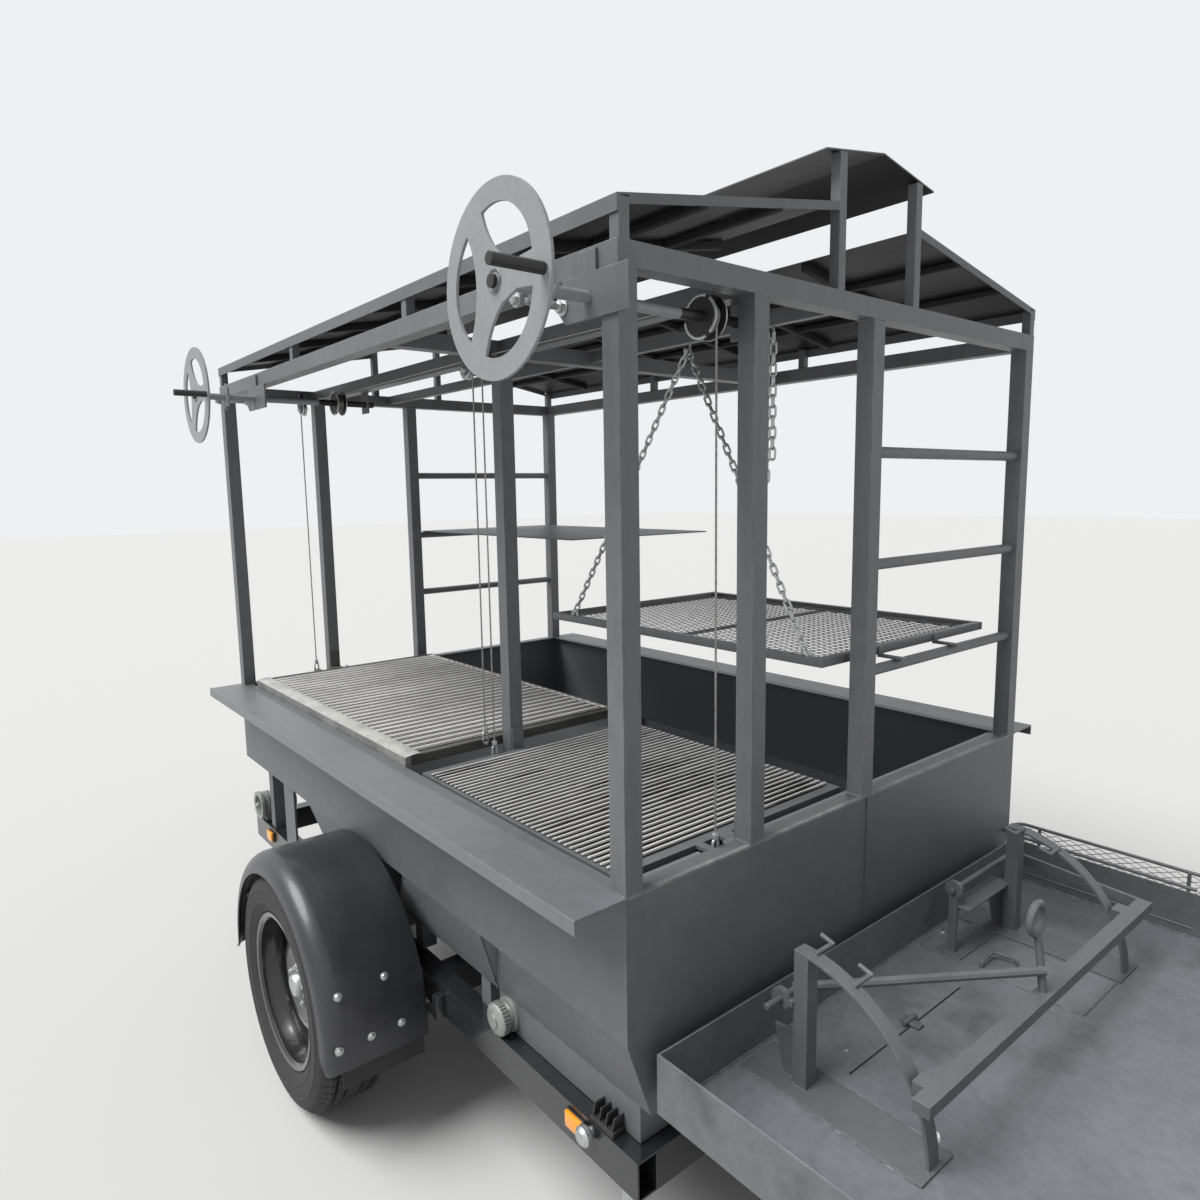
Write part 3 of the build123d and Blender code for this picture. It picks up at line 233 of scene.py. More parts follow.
def finish(name, colour, second, scale=3.0, stretch=(1, 1, 1), rough=(0.40, 0.56), metallic=0.0, coat=0.0,
           worn=None, wear=0.5, grain=(260.0, 0.12), soft=0.0012, stain=None, stain_where=None, shine=0.5,
           rub_and_highlight_where=None):
    """Material that wanders between two tones, with fine grain, softened edges and rubbed corners.

    rough is the range of roughness, grain the fine grain's scale and strength, and soft the radius of the
    eased edges. stain_where and the rub mask take (place, facing, pattern) and give a mask; the rub mask lays
    the worn colour on as a painted highlight over rubbed paint.
    """
    paint = bpy.data.materials.new(name)
    paint.use_nodes = True
    paint.node_tree.nodes.clear()
    make = Wire(paint.node_tree)
    place = make.node("ShaderNodeTexCoord", output="Object")
    drawn = make.node("ShaderNodeMapping", inputs={"Vector": place, "Scale": stretch})
    cloud = make.node("ShaderNodeTexNoise", inputs={
        "Vector": drawn, "Scale": scale, "Detail": 7.0, "Roughness": 0.62})
    speck = make.node("ShaderNodeTexNoise", inputs={"Vector": drawn, "Scale": scale * 14, "Detail": 4.0})
    tiny = make.node("ShaderNodeTexNoise", inputs={"Vector": place, "Scale": grain[0], "Detail": 2.0})
    tone = (cloud * 0.7 + speck * 0.3).step(0.36, 0.64).mix(colour, second)
    facing = make.node("ShaderNodeNewGeometry", output="Normal")
    eased = make.node("ShaderNodeBevel", {"samples": 4}, {"Radius": soft})
    if worn:
        same = make.node("ShaderNodeVectorMath", {"operation": "DOT_PRODUCT"}, {0: eased, 1: facing}, "Value")
        edge = (1 - same).step(0.015, 0.12) * speck.step(0.38, 0.60) * wear
        tone = edge.mix(tone, worn)
    if stain:
        tone = stain_where(place, facing, cloud).mix(tone, stain)
    # Painted highlight: the worn colour laid on where the mask says, over real rubbing.
    if rub_and_highlight_where:
        tone = rub_and_highlight_where(place, facing, speck).mix(tone, worn)
    height = tiny * 0.6 + speck * 0.4
    bump = make.node("ShaderNodeBump", inputs={
        "Strength": grain[1], "Distance": 0.001, "Height": height, "Normal": eased})
    dull = (cloud * 0.6 + tiny * 0.4).step(0.35, 0.65, *rough)
    shader = make.node("ShaderNodeBsdfPrincipled", inputs={
        "Base Color": tone, "Roughness": dull, "Metallic": metallic, "Coat Weight": coat, "Normal": bump,
        "Specular IOR Level": shine})
    make.node("ShaderNodeOutputMaterial", inputs={"Surface": shader})
    return paint


def ashen_inside(place, facing, cloud):
    """Ash on the faces inside the band, down to its foot."""
    x, y, z = place.split()
    across = y.maths("ABSOLUTE", y)
    inside = (LEFT - SHEET / 2 - across).step(0, CRISP)
    inside = inside * (x - (REAR + SHEET / 2)).step(0, CRISP) * ((FRONT - SHEET / 2) - x).step(0, CRISP)
    low = ((RIM - SHEET * 1.2) - z).step(0, 0.03) * (z - ASH_FOOT).step(0, CRISP)
    return inside * low * cloud.step(0.2, 0.5, 0.75, 1.0)


def rim_rub_and_highlight(place, facing, speck):
    """Rubbed paint and a painted highlight along the outer edge of the rear rim's top."""
    x, _, z = place.split()
    top = (z - (RIM - SHEET * 1.2)).step(0, CRISP)
    outer = ((REAR + 0.012) - x).step(0, 0.003)
    return top * outer * speck.step(0.36, 0.60, 0.35, 0.9)


charcoal = finish("charcoal", CHARCOAL, CHARCOAL_LIGHT, worn=RUBBED, wear=0.55)
# Lighter copy of the charcoal with brighter worn edges: painted sky light on the ledges' tops and painted
# highlights along their edges, over real rubbing.
sky_lit_ledge_paint = finish("sky_lit_ledge_paint", (0.112, 0.117, 0.128), (0.146, 0.152, 0.165), rough=(0.36, 0.48),
                     worn=(0.34, 0.34, 0.34), wear=0.7, soft=0.002, shine=0.9)
box_paint = finish("box_paint", CHARCOAL, CHARCOAL_LIGHT, scale=2.2, worn=RUBBED, wear=0.6, stain=ASHEN,
                   stain_where=ashen_inside, rub_and_highlight_where=rim_rub_and_highlight)


def coat(paint, *nodes):
    """Gives CAD nodes a finish in place of their plain one."""
    for node in nodes:
        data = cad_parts[node].data
        data.materials.clear()
        data.materials.append(paint)


coat(box_paint, "fire_box")
coat(sky_lit_ledge_paint, "ledge_left", "ledge_right")
coat(charcoal, "box_mounts", "ash_box_rear", "ash_box_front")


class Shape:
    """Mesh under construction: boxes, bars, cut plates and turned rings, made one object at the end."""

    def __init__(self):
        self.mesh = bmesh.new()

    def faces(self, points, faces):
        """Adds points in space and the faces between them."""
        made = [self.mesh.verts.new(p) for p in points]
        for face in faces:
            self.mesh.faces.new([made[i] for i in face])

    def between(self, foot, head):
        """Closed skin between two outlines with equally many points."""
        count = len(foot)
        sides = [(i, (i + 1) % count, (i + 1) % count + count, i + count) for i in range(count)]
        self.faces(foot + head, sides + [tuple(range(count))[::-1], tuple(range(count, 2 * count))])

    def prism(self, outline, push):
        """Flat outline of points in space, made solid along a vector."""
        foot = [Vector(p) for p in outline]
        self.between(foot, [p + Vector(push) for p in foot])

    def box(self, x, y, z):
        """Box between two corners given as (low, high) pairs."""
        outline = [(x[0], y[0], z[0]), (x[1], y[0], z[0]), (x[1], y[1], z[0]), (x[0], y[1], z[0])]
        self.prism(outline, (0, 0, z[1] - z[0]))

    def rod(self, start, end, radius, sides=16, end_radius=None):
        """Round bar between two points, tapered where the end radius differs."""
        start, end = Vector(start), Vector(end)
        axis = (end - start).normalized()
        across = axis.orthogonal().normalized()
        other = axis.cross(across)
        angles = [2 * math.pi * i / sides for i in range(sides)]
        spokes = [across * math.cos(a) + other * math.sin(a) for a in angles]
        end_radius = radius if end_radius is None else end_radius
        self.between([start + s * radius for s in spokes], [end + s * end_radius for s in spokes])

    def skin(self, rings, closed=False):
        """Skin over a row of rings with equally many points, with flat ends unless it closes on itself."""
        count = len(rings[0])
        last = len(rings) - 1
        faces = []
        for i in range(last + 1 if closed else last):
            after = (i + 1) % len(rings)
            for j in range(count):
                k = (j + 1) % count
                faces.append((i * count + j, i * count + k, after * count + k, after * count + j))
        if not closed:
            faces += [tuple(range(count)), tuple(range(last * count, last * count + count))[::-1]]
        self.faces([p for ring in rings for p in ring], faces)

    def turned(self, profile, centre, steps=72, start=0.0, sweep=360.0):
        """Closed outline of (radius, along) points turned about a line along Y."""
        whole = sweep >= 360
        rings = []
        for i in range(steps if whole else steps + 1):
            angle = math.radians(start + sweep * i / steps)
            rings.append([Vector(centre) + Vector((radius * math.cos(angle), along, radius * math.sin(angle)))
                          for radius, along in profile])
        self.skin(rings, whole)

    def data(self, name="start", soft=0.0):
        """Ends the mesh, with outward faces and softened edges, and gives it as plain data."""
        bmesh.ops.recalc_face_normals(self.mesh, faces=self.mesh.faces)
        if soft:
            sharp = [e for e in self.mesh.edges if e.is_manifold and e.calc_face_angle() > math.radians(30)]
            bmesh.ops.bevel(self.mesh, geom=sharp, offset=soft, segments=2, profile=0.5, affect="EDGES",
                            clamp_overlap=True)
        data = bpy.data.meshes.new(name)
        self.mesh.to_mesh(data)
        self.mesh.free()
        return data

    def made(self, name, paint, body="root", slot="charcoal_paint", soft=0.0, stands_for=(), angle=35):
        """Ends the mesh as one object that rides on its body."""
        return keep(name, self.data(name, soft), paint, body, stands_for, angle)


def keep(name, data, paint, body="root", stands_for=(), angle=35):
    """Object for a finished mesh, with its material, body and the nodes that it stands for."""
    data.materials.clear()
    data.materials.append(paint)
    data.shade_smooth()
    data.set_sharp_from_angle(angle=math.radians(angle))
    piece = bpy.data.objects.new(name, data)
    scene.collection.objects.link(piece)
    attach(piece, body)
    if stands_for:
        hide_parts(*stands_for)
    return piece


def wires(paths):
    """Mesh of bare edges along each list of points."""
    data = bpy.data.meshes.new("path")
    points = [p for path in paths for p in path]
    edges = []
    first = 0
    for path in paths:
        edges += [(first + i, first + i + 1) for i in range(len(path) - 1)]
        first += len(path)
    data.from_pydata([tuple(p) for p in points], edges, [])
    return data


def geometry_tree(name, **sizes):
    """New geometry tree whose inputs are a start mesh, named sizes and a material."""
    tree = bpy.data.node_groups.new(name, "GeometryNodeTree")
    kinds = {int: "NodeSocketInt", float: "NodeSocketFloat", tuple: "NodeSocketVector"}
    tree.interface.new_socket("Start", in_out="INPUT", socket_type="NodeSocketGeometry")
    for label, value in sizes.items():
        size = tree.interface.new_socket(label, in_out="INPUT", socket_type=kinds[type(value)])
        size.default_value = value
    tree.interface.new_socket("Material", in_out="INPUT", socket_type="NodeSocketMaterial")
    tree.interface.new_socket("Made", in_out="OUTPUT", socket_type="NodeSocketGeometry")
    return Wire(tree).node("NodeGroupInput", output="Start")


def close_tree(source, shape):
    """Ends a geometry tree: instances made real, and the material set."""
    real = source.node("GeometryNodeRealizeInstances", inputs={"Geometry": shape})
    painted = source.node("GeometryNodeSetMaterial", inputs={
        "Geometry": real, "Material": source.sister("Material")})
    source.node("NodeGroupOutput", inputs={"Made": painted})
    return source.tree


def grown(name, tree, start, paint, body="root", slot="charcoal_paint", stands_for=(), angle=35, **sizes):
    """Runs a geometry tree on a start mesh and keeps the result as a plain mesh."""
    holder = bpy.data.objects.new(name + "_start", start)
    scene.collection.objects.link(holder)
    modifier = holder.modifiers.new("Grow", "NODES")
    modifier.node_group = tree
    given = dict(sizes, Material=paint)
    for item in tree.interface.items_tree:
        if item.item_type == "SOCKET" and item.in_out == "INPUT" and item.name in given:
            modifier[item.identifier] = given[item.name]
    depsgraph = bpy.context.evaluated_depsgraph_get()
    data = bpy.data.meshes.new_from_object(holder.evaluated_get(depsgraph))
    holder.modifiers.remove(modifier)
    bpy.data.objects.remove(holder)
    return keep(name, data, paint, body, stands_for, angle)


def round_bar(source, path, sides, radius, caps=True):
    """Round section drawn along a path."""
    ring = source.node("GeometryNodeCurvePrimitiveCircle", inputs={"Resolution": sides, "Radius": radius})
    return source.node("GeometryNodeCurveToMesh", inputs={
        "Curve": path, "Profile Curve": ring, "Fill Caps": caps})


def stepped_path(source, step):
    """The start mesh as a path with a point at every step."""
    path = source.node("GeometryNodeMeshToCurve", inputs={"Mesh": source})
    return source.node("GeometryNodeResampleCurve", {"mode": "LENGTH"}, {"Curve": path, "Length": step})


def round_wire_tree():
    """Round bar along each path, with its corners bent to a radius."""
    source = geometry_tree("round_wire", Radius=0.004, Bend=0.01, Sides=10)
    path = source.node("GeometryNodeMeshToCurve", inputs={"Mesh": source})
    bent = source.node("GeometryNodeFilletCurve", {"mode": "POLY"}, {
        "Curve": path, "Count": 5, "Radius": source.sister("Bend"), "Limit Radius": True})
    return close_tree(source, round_bar(source, bent, source.sister("Sides"), source.sister("Radius")))


def weld_tree():
    """Uneven bead along each path."""
    source = geometry_tree("weld", Radius=0.0026, Step=0.005, Ripple=0.0006)
    path = stepped_path(source, source.sister("Step"))
    bead = round_bar(source, path, 6, source.sister("Radius"))
    ripple = source.sister("Ripple")
    low = ripple * -1
    jitter = source.node("FunctionNodeRandomValue", {"data_type": "FLOAT_VECTOR"}, {
        0: source.join(low, low, low), 1: source.join(ripple, ripple, ripple), "Seed": 7})
    uneven = source.node("GeometryNodeSetPosition", inputs={"Geometry": bead, "Offset": jitter})
    return close_tree(source, uneven)


wire_tree = round_wire_tree()
bead_tree = weld_tree()


def square_path(x, y, z):
    """Corner points round a rectangle at one height."""
    return [(x[0], y[0], z), (x[1], y[0], z), (x[1], y[1], z), (x[0], y[1], z), (x[0], y[0], z)]


def box_welds():
    """Beads along the ledges and down the pleats of the hopper."""
    band_foot = RIM - BAND_HEIGHT
    hopper_foot = band_foot - HOPPER_HEIGHT
    paths = []
    for side in (1, -1):
        paths.append([(REAR, side * LEFT, RIM - SHEET), (FRONT, side * LEFT, RIM - SHEET)])
        for top_rear, top_front, foot in PLEATS:
            for top in (top_rear, top_front):
                start = (REAR + top, side * LEFT, band_foot)
                paths.append([start, (REAR + foot, side * (LEFT - HOPPER_INSET), hopper_foot)])
    grown("box_welds", bead_tree, wires(paths), charcoal, Radius=0.0022)


box_welds()

# Posts and top frame. Forty millimetre square tube, mitred and welded, with a bead round each post's
# foot and head; the paint is rubbed to bare metal along the tubes' edges.
POST = 0.040
POST_FAINT = (0.31, 0.31, 0.31)
post_paint = finish("post_paint", (0.105, 0.108, 0.113), (0.140, 0.143, 0.149), scale=4, stretch=(1, 1, 0.35),
                    worn=POST_FAINT, wear=0.85, grain=(300, 0.16), soft=0.002)
coat(post_paint, "posts_rear", "posts_front", "guide_post", "top_frame")
coat(post_paint, "shelf_bars_rear", "shelf_bars_front")
BEAM_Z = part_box("top_frame")[0].z
BEAM_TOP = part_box("top_frame")[1].z
POST_STEPS = (0, 0.325, 0.705, 1.410)     # from the left side
BEAD_OFF = 0.0005
GUIDE_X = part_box("guide_post")[0].x


def post_welds():
    """Bead round each post at the rim and up under the beams."""
    paths = []
    for x in (REAR, FRONT - POST):
        for step in POST_STEPS:
            y = (LEFT - step - POST, LEFT - step)
            paths.append(square_path((x, x + POST), y, RIM + BEAD_OFF))
            paths.append(square_path((x, x + POST), y, BEAM_Z - BEAD_OFF))
    guide_y = (LEFT - POST_STEPS[1] - POST, LEFT - POST_STEPS[1])
    paths.append(square_path((GUIDE_X, GUIDE_X + POST), guide_y, BEAM_Z - BEAD_OFF))
    inset = 0.0012
    tight = []
    for path in paths:
        middle = (Vector(path[0]) + Vector(path[2])) / 2
        tight.append([Vector(p) + (middle - Vector(p)).normalized() * inset for p in path])
    grown("post_welds", bead_tree, wires(tight), post_paint, Radius=0.0024)


post_welds()

# Roof. Three millimetre sheet on short studs, with a gabled cap over the smoke slot. Below it is painted
# near black, for soot and for the shade under the roof, where flat bar rafters and stringers stiffen each
# slope.
ROOF_TOP = (0.115, 0.118, 0.124)


def soot_and_shade_under(place, facing, cloud):
    """Painted shade with soot on every face that looks down."""
    z = facing.split()[2]
    return (z * -1).step(0.15, 0.5) * cloud.step(0.25, 0.55, 0.8, 1.0)


# The roof's dark stain is painted shade on downward faces, with soot.
roof_paint = finish("roof_paint", ROOF_TOP, (0.145, 0.148, 0.154), scale=2.0, worn=RUBBED, wear=0.5,
                    stain=(0.012, 0.011, 0.0105), stain_where=soot_and_shade_under, shine=0.25)
# Near black: painted shade with soot on the rafters under the roof; on the tray's seam it is the dark joint.
soot_and_shade_black = finish("soot_and_shade_paint", (0.020, 0.020, 0.021), (0.034, 0.034, 0.035), scale=5, rough=(0.55, 0.75),
               shine=0.2)
coat(roof_paint, "roof_left", "roof_right", "ridge_cap")
coat(post_paint, "eave_studs", "ridge_studs")
EAVE_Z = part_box("eave_studs")[1].z
SLOPE_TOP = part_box("roof_left")[1].z - 0.003
RIDGE_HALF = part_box("roof_left")[0].y
ROOF_GAP = 0.0005
RAFTER = (0.020, 0.018)     # width and depth
RAFTER_BAYS = 7
STRINGER_RUNS = (0.32, 0.52)
STRINGER_WIDTH = 0.016


def span(side, near, far):
    """Low and high of a stretch across, on the left (1) or the right (-1)."""
    return sorted((side * near, side * far))


def rafters():
    """Flat bars under both slopes, from the eave to the smoke slot, and two stringers each side."""
    shape = Shape()
    width, depth = RAFTER
    top_run = RIDGE_HALF + 0.004
    foot_run = LEFT - 0.028
    rise = (SLOPE_TOP - EAVE_Z) / (LEFT - RIDGE_HALF)
    for side in (1, -1):
        high = EAVE_Z + rise * (LEFT - top_run) - ROOF_GAP
        low = EAVE_Z + rise * (LEFT - foot_run) - ROOF_GAP
        for i in range(1, RAFTER_BAYS):
            x = REAR + (FRONT - REAR) * i / RAFTER_BAYS - width / 2
            outline = [(x, side * top_run, high), (x, side * foot_run, low),
                       (x, side * foot_run, low - depth), (x, side * top_run, high - depth)]
            shape.prism(outline, (width, 0, 0))
        for run in STRINGER_RUNS:
            z = EAVE_Z + rise * (LEFT - run) - ROOF_GAP
            shape.box((REAR + 0.004, FRONT - 0.004), span(side, run, run + STRINGER_WIDTH),
                      (z - depth, z - 0.003))
    shape.made("roof_rafters", soot_and_shade_black, soft=0.001)


rafters()

# Shelves. A plate shelf on the front bars, and a hung shelf of square tube with a diamond mesh
# floor, hooked on the lowest rear bar and hung from the joist by two galvanised chains.
zinc = finish("zinc", (0.42, 0.43, 0.43), (0.56, 0.57, 0.57), scale=30, rough=(0.30, 0.5), metallic=0.85,
              worn=(0.75, 0.75, 0.74), wear=0.4, grain=(400, 0.1))
mesh_steel = finish("mesh_steel", (0.20, 0.20, 0.205), (0.30, 0.30, 0.305), scale=12, rough=(0.4, 0.6),
                    metallic=0.1, worn=RUBBED, wear=0.5)
coat(charcoal, "plate_shelf")
SHELF_LOW, SHELF_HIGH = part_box("mesh_shelf")
SHELF_TUBE = 0.020


def diamond_tree():
    """Sheet of diamond mesh: zigzag strands that touch at every second point."""
    source = geometry_tree("diamond", Length=1.0, Pitch=0.04, Gap=0.014, Rows=10, Origin=(0.0, 0.0, 0.0),
                           Radius=0.0016)
    pitch, gap = source.sister("Pitch"), source.sister("Gap")
    count = source.sister("Length") / (pitch / 2) + 1
    strand = source.node("GeometryNodeMeshLine", inputs={"Count": count, "Offset": source.join(pitch / 2)})
    odd = source.node("GeometryNodeInputIndex") % 2
    swings = []
    for start, sign in ((0.0, 1.0), (1.0, -1.0)):
        swing = source.join(y=gap * start + odd * gap * (sign * 0.5))
        swings.append(source.node("GeometryNodeSetPosition", inputs={"Geometry": strand, "Offset": swing}))
    pair = source.node("GeometryNodeJoinGeometry", inputs={"Geometry": swings[0]})
    pair.give(pair.socket.node.inputs["Geometry"], swings[1])
    rows = source.node("GeometryNodeMeshLine", inputs={
        "Count": source.sister("Rows"), "Start Location": source.sister("Origin"),
        "Offset": source.join(y=gap)})
    laid = source.node("GeometryNodeInstanceOnPoints", inputs={"Points": rows, "Instance": pair})
    real = source.node("GeometryNodeRealizeInstances", inputs={"Geometry": laid})
    path = source.node("GeometryNodeMeshToCurve", inputs={"Mesh": real})
    return close_tree(source, round_bar(source, path, 4, source.sister("Radius")))


diamonds = diamond_tree()
SHELF_NET = (0.048, 0.022)      # pitch along, gap across
HOOK_SPACING = 0.25


def blank_start():
    """Start mesh for a tree that lays its own points."""
    return wires([[(0, 0, 0), (0, 0, 0.001)]])


def mesh_shelf():
    """Ring of tube, cross bar, hooks and the diamond mesh welded under the ring's top."""
    tube = SHELF_TUBE
    x = (REAR + 0.060, SHELF_HIGH.x)
    y = (SHELF_LOW.y, SHELF_HIGH.y)
    z = (SHELF_HIGH.z - tube, SHELF_HIGH.z)
    shape = Shape()
    shape.box(x, (y[0], y[0] + tube), z)
    shape.box(x, (y[1] - tube, y[1]), z)
    shape.box((x[0], x[0] + tube), (y[0] + tube, y[1] - tube), z)
    shape.box((x[1] - tube, x[1]), (y[0] + tube, y[1] - tube), z)
    middle = (x[0] + x[1]) / 2
    shape.box((middle - tube / 2, middle + tube / 2), (y[0] + tube, y[1] - tube), (z[0], z[0] + 0.006))
    hook_y = y[0] + (y[1] - y[0]) / 3
    bar_x = REAR + POST / 2
    bar_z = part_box("shelf_bars_rear")[0].z + 0.025
    for place in (hook_y, hook_y + HOOK_SPACING):
        shape.box((bar_x - 0.024, x[0] + 0.001), (place, place + tube), (bar_z + 0.0004, bar_z + 0.006))
        shape.box((x[0] - 0.005, x[0] + 0.001), (place, place + tube), (bar_z, z[1]))
    shape.made("mesh_shelf_ring", post_paint, soft=0.0012, stands_for=["mesh_shelf"])
    inner = (x[1] - x[0] - 2 * tube, y[1] - y[0] - 2 * tube)
    pitch, gap = SHELF_NET
    grown("mesh_shelf_net", diamonds, blank_start(), mesh_steel, Length=inner[0], Pitch=pitch, Gap=gap,
          Rows=int(inner[1] / gap), Origin=(x[0] + tube, y[0] + tube, z[0] + 0.009), Radius=0.0009)


mesh_shelf()


def chain_tree():
    """Oval links along a path, each turned a quarter from the last."""
    source = geometry_tree("chain", Pitch=0.022, Wire=0.0028, Width=0.018)
    pitch, wire, width = source.sister("Pitch"), source.sister("Wire"), source.sister("Width")
    path = stepped_path(source, pitch)
    oval = source.node("GeometryNodeCurvePrimitiveQuadrilateral", inputs={
        "Width": pitch + wire * 2, "Height": width - wire * 2})
    round_oval = source.node("GeometryNodeFilletCurve", {"mode": "POLY"}, {
        "Curve": oval, "Count": 5, "Radius": (width - wire * 2) * 0.499})
    link = round_bar(source, round_oval, 8, wire, caps=False)
    ahead = source.node("GeometryNodeInputTangent")
    aimed = source.node("FunctionNodeAlignRotationToVector", {"axis": "X"}, {"Vector": ahead})
    quarter = (source.node("GeometryNodeInputIndex") % 2) * (math.pi / 2)
    turned = source.node("FunctionNodeRotateRotation", {"rotation_space": "LOCAL"}, {
        "Rotation": aimed, "Rotate By": source.join(quarter + 0.4)})
    chain = source.node("GeometryNodeInstanceOnPoints", inputs={
        "Points": path, "Instance": link, "Rotation": turned})
    return close_tree(source, chain)


links = chain_tree()
CHAIN_HOOK = Vector((-0.8405, 0.085, 1.9475))
CHAIN_FEET = ((-1.2105, 0.085, 1.2355), (-0.3605, 0.085, 1.2355))
SPARE_X = -1.1005
SPARE_FOOT = 1.630


def shelf_chains():
    """Hanging pair, spare doubled chain, and the hooks that hold them on the joist."""
    paths = []
    for foot in CHAIN_FEET:
        side = 1 if foot[0] > CHAIN_HOOK.x else -1
        paths.append([foot, CHAIN_HOOK + Vector((side * 0.006, 0, -0.012))])
    top = CHAIN_HOOK.z - 0.012
    for side, low in ((0.008, SPARE_FOOT), (-0.008, SPARE_FOOT + 0.05)):
        paths.append([(SPARE_X + side, CHAIN_HOOK.y, low), (SPARE_X + side, CHAIN_HOOK.y, top)])
    grown("shelf_chain_links", links, wires(paths), zinc, slot="zinc", stands_for=["shelf_chains"])
    joist_z = BEAM_TOP - 0.030
    hooks = []
    for x in (CHAIN_HOOK.x, SPARE_X):
        y = CHAIN_HOOK.y
        hooks.append([(x, y - 0.008, joist_z + 0.002), (x, y - 0.008, joist_z - 0.026),
                      (x, y + 0.010, joist_z - 0.026), (x, y + 0.010, joist_z - 0.012)])
    for foot in CHAIN_FEET:
        x, y, z = foot
        hooks.append([(x - 0.012, y, z - 0.008), (x - 0.012, y, z + 0.008), (x + 0.012, y, z + 0.008),
                      (x + 0.012, y, z - 0.008)])
    grown("shelf_chain_hooks", wire_tree, wires(hooks), zinc, slot="zinc", Radius=0.003, Bend=0.008)


shelf_chains()

# Lifting grates. The rear one carries bright round rods, the front one folded V channels that drain
# into a gutter along the left; both run on the guide posts in square tube frames black with fat.
GRATE_Y = (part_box("rear_grate")[0].y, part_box("rear_grate")[1].y)
ROD_END = 0.008
ROD_PITCH = 0.019
ROD_RADIUS = 0.0053
GRATE_TUBE = 0.025
GRATE_TOP = RIM - 0.008
FRONT_TOP = GRATE_TOP + 0.030
REAR_GRATE_X = (REAR + 0.085, GUIDE_X - 0.008)
FRONT_GRATE_X = (GUIDE_X + POST + 0.008, FRONT - POST - 0.040)
FRAME_EDGE = 0.026
# Dark for the rods' shaded sides as well as for their burnt fat.
FAT_AND_SHADE = (0.035, 0.033, 0.031)


def rod_shade_and_fat(place, facing, cloud):
    """Painted shade on every rod face but the top, with patches of burnt fat; the tops stay bright."""
    up = facing.split()[2]
    return ((0.90 - up).step(0.0, 0.25) * 0.92 + cloud.step(0.56, 0.70, 0.0, 0.5)).step(0, 1)


rod_steel = finish("rod_steel", (0.68, 0.675, 0.66), (0.90, 0.89, 0.875), scale=14, stretch=(1, 0.15, 1),
                   rough=(0.28, 0.46), metallic=0.3, grain=(500, 0.12), stain=FAT_AND_SHADE,
                   stain_where=rod_shade_and_fat)


def channel_shade_and_fat(place, facing, cloud):
    """Painted shade low in the channels and on faces that look down, with burnt fat there and on the frame
    round them.
    """
    x, y, z = place.split()
    deep = ((FRONT_TOP - 0.0008) - z).step(0.0, 0.0016)
    under = (0.2 - facing.split()[2]).step(0.0, 0.2)
    ends = (x - (FRONT_GRATE_X[0] + FRAME_EDGE)).step(0, 0.001)
    ends = ends * ((FRONT_GRATE_X[1] - FRAME_EDGE) - x).step(0, 0.001)
    ends = ends * ((GRATE_Y[1] - ROD_END) - y).step(0, 0.001) * (y - (GRATE_Y[0] + ROD_END)).step(0, 0.001)
    return (deep * 0.95 + under + (1 - ends)).step(0, 1) * cloud.step(0.25, 0.6, 0.85, 1.0)


# The dark stain is painted shade in the channels' valleys and undersides, and burnt fat on the frame.
channel_steel = finish("channel_steel", (0.56, 0.555, 0.53), (0.78, 0.77, 0.745), scale=9,
                       stretch=(1, 0.3, 1), rough=(0.45, 0.7), metallic=0.2, grain=(420, 0.25),
                       stain=(0.035, 0.033, 0.030), stain_where=channel_shade_and_fat)
gutter_steel = finish("gutter_steel", (0.17, 0.17, 0.168), (0.29, 0.287, 0.28), scale=11, rough=(0.5, 0.75),
                      metallic=0.3, grain=(380, 0.3), worn=(0.5, 0.49, 0.47), wear=0.6)
drip_steel = finish("drip_steel", (0.30, 0.30, 0.28), (0.50, 0.495, 0.47), scale=16, rough=(0.5, 0.7),
                    metallic=0.1, grain=(380, 0.3), worn=(0.8, 0.79, 0.76), wear=0.6)
coat(charcoal, "rear_grate")
coat(channel_steel, "front_grate")
coat(gutter_steel, "grease_gutter")


def row_tree():
    """The start piece laid over and over at one spacing."""
    source = geometry_tree("row", Count=8, Spacing=(0.02, 0.0, 0.0))
    places = source.node("GeometryNodeMeshLine", inputs={
        "Count": source.sister("Count"), "Offset": source.sister("Spacing")})
    laid = source.node("GeometryNodeInstanceOnPoints", inputs={"Points": places, "Instance": source})
    return close_tree(source, laid)


laid_row = row_tree()


def grate_rods():
    """Round rods with eased ends, tacked across the rear grate's frame."""
    first = REAR_GRATE_X[0] + GRATE_TUBE + ROD_PITCH / 2
    room = REAR_GRATE_X[1] - GRATE_TUBE - 0.005 - first
    y = (GRATE_Y[0] + ROD_END - 0.001, GRATE_Y[1] - ROD_END + 0.001)
    shape = Shape()
    shape.rod((first, y[0] + 0.002, GRATE_TOP), (first, y[1] - 0.002, GRATE_TOP), ROD_RADIUS, sides=10)
    shape.rod((first, y[0], GRATE_TOP), (first, y[0] + 0.002, GRATE_TOP), ROD_RADIUS * 0.7, 10, ROD_RADIUS)
    shape.rod((first, y[1] - 0.002, GRATE_TOP), (first, y[1], GRATE_TOP), ROD_RADIUS, 10, ROD_RADIUS * 0.7)
    grown("grate_rods", laid_row, shape.data(), rod_steel, "rear_lift", "grate_steel",
          Count=int(room / ROD_PITCH) + 1, Spacing=(ROD_PITCH, 0.0, 0.0))


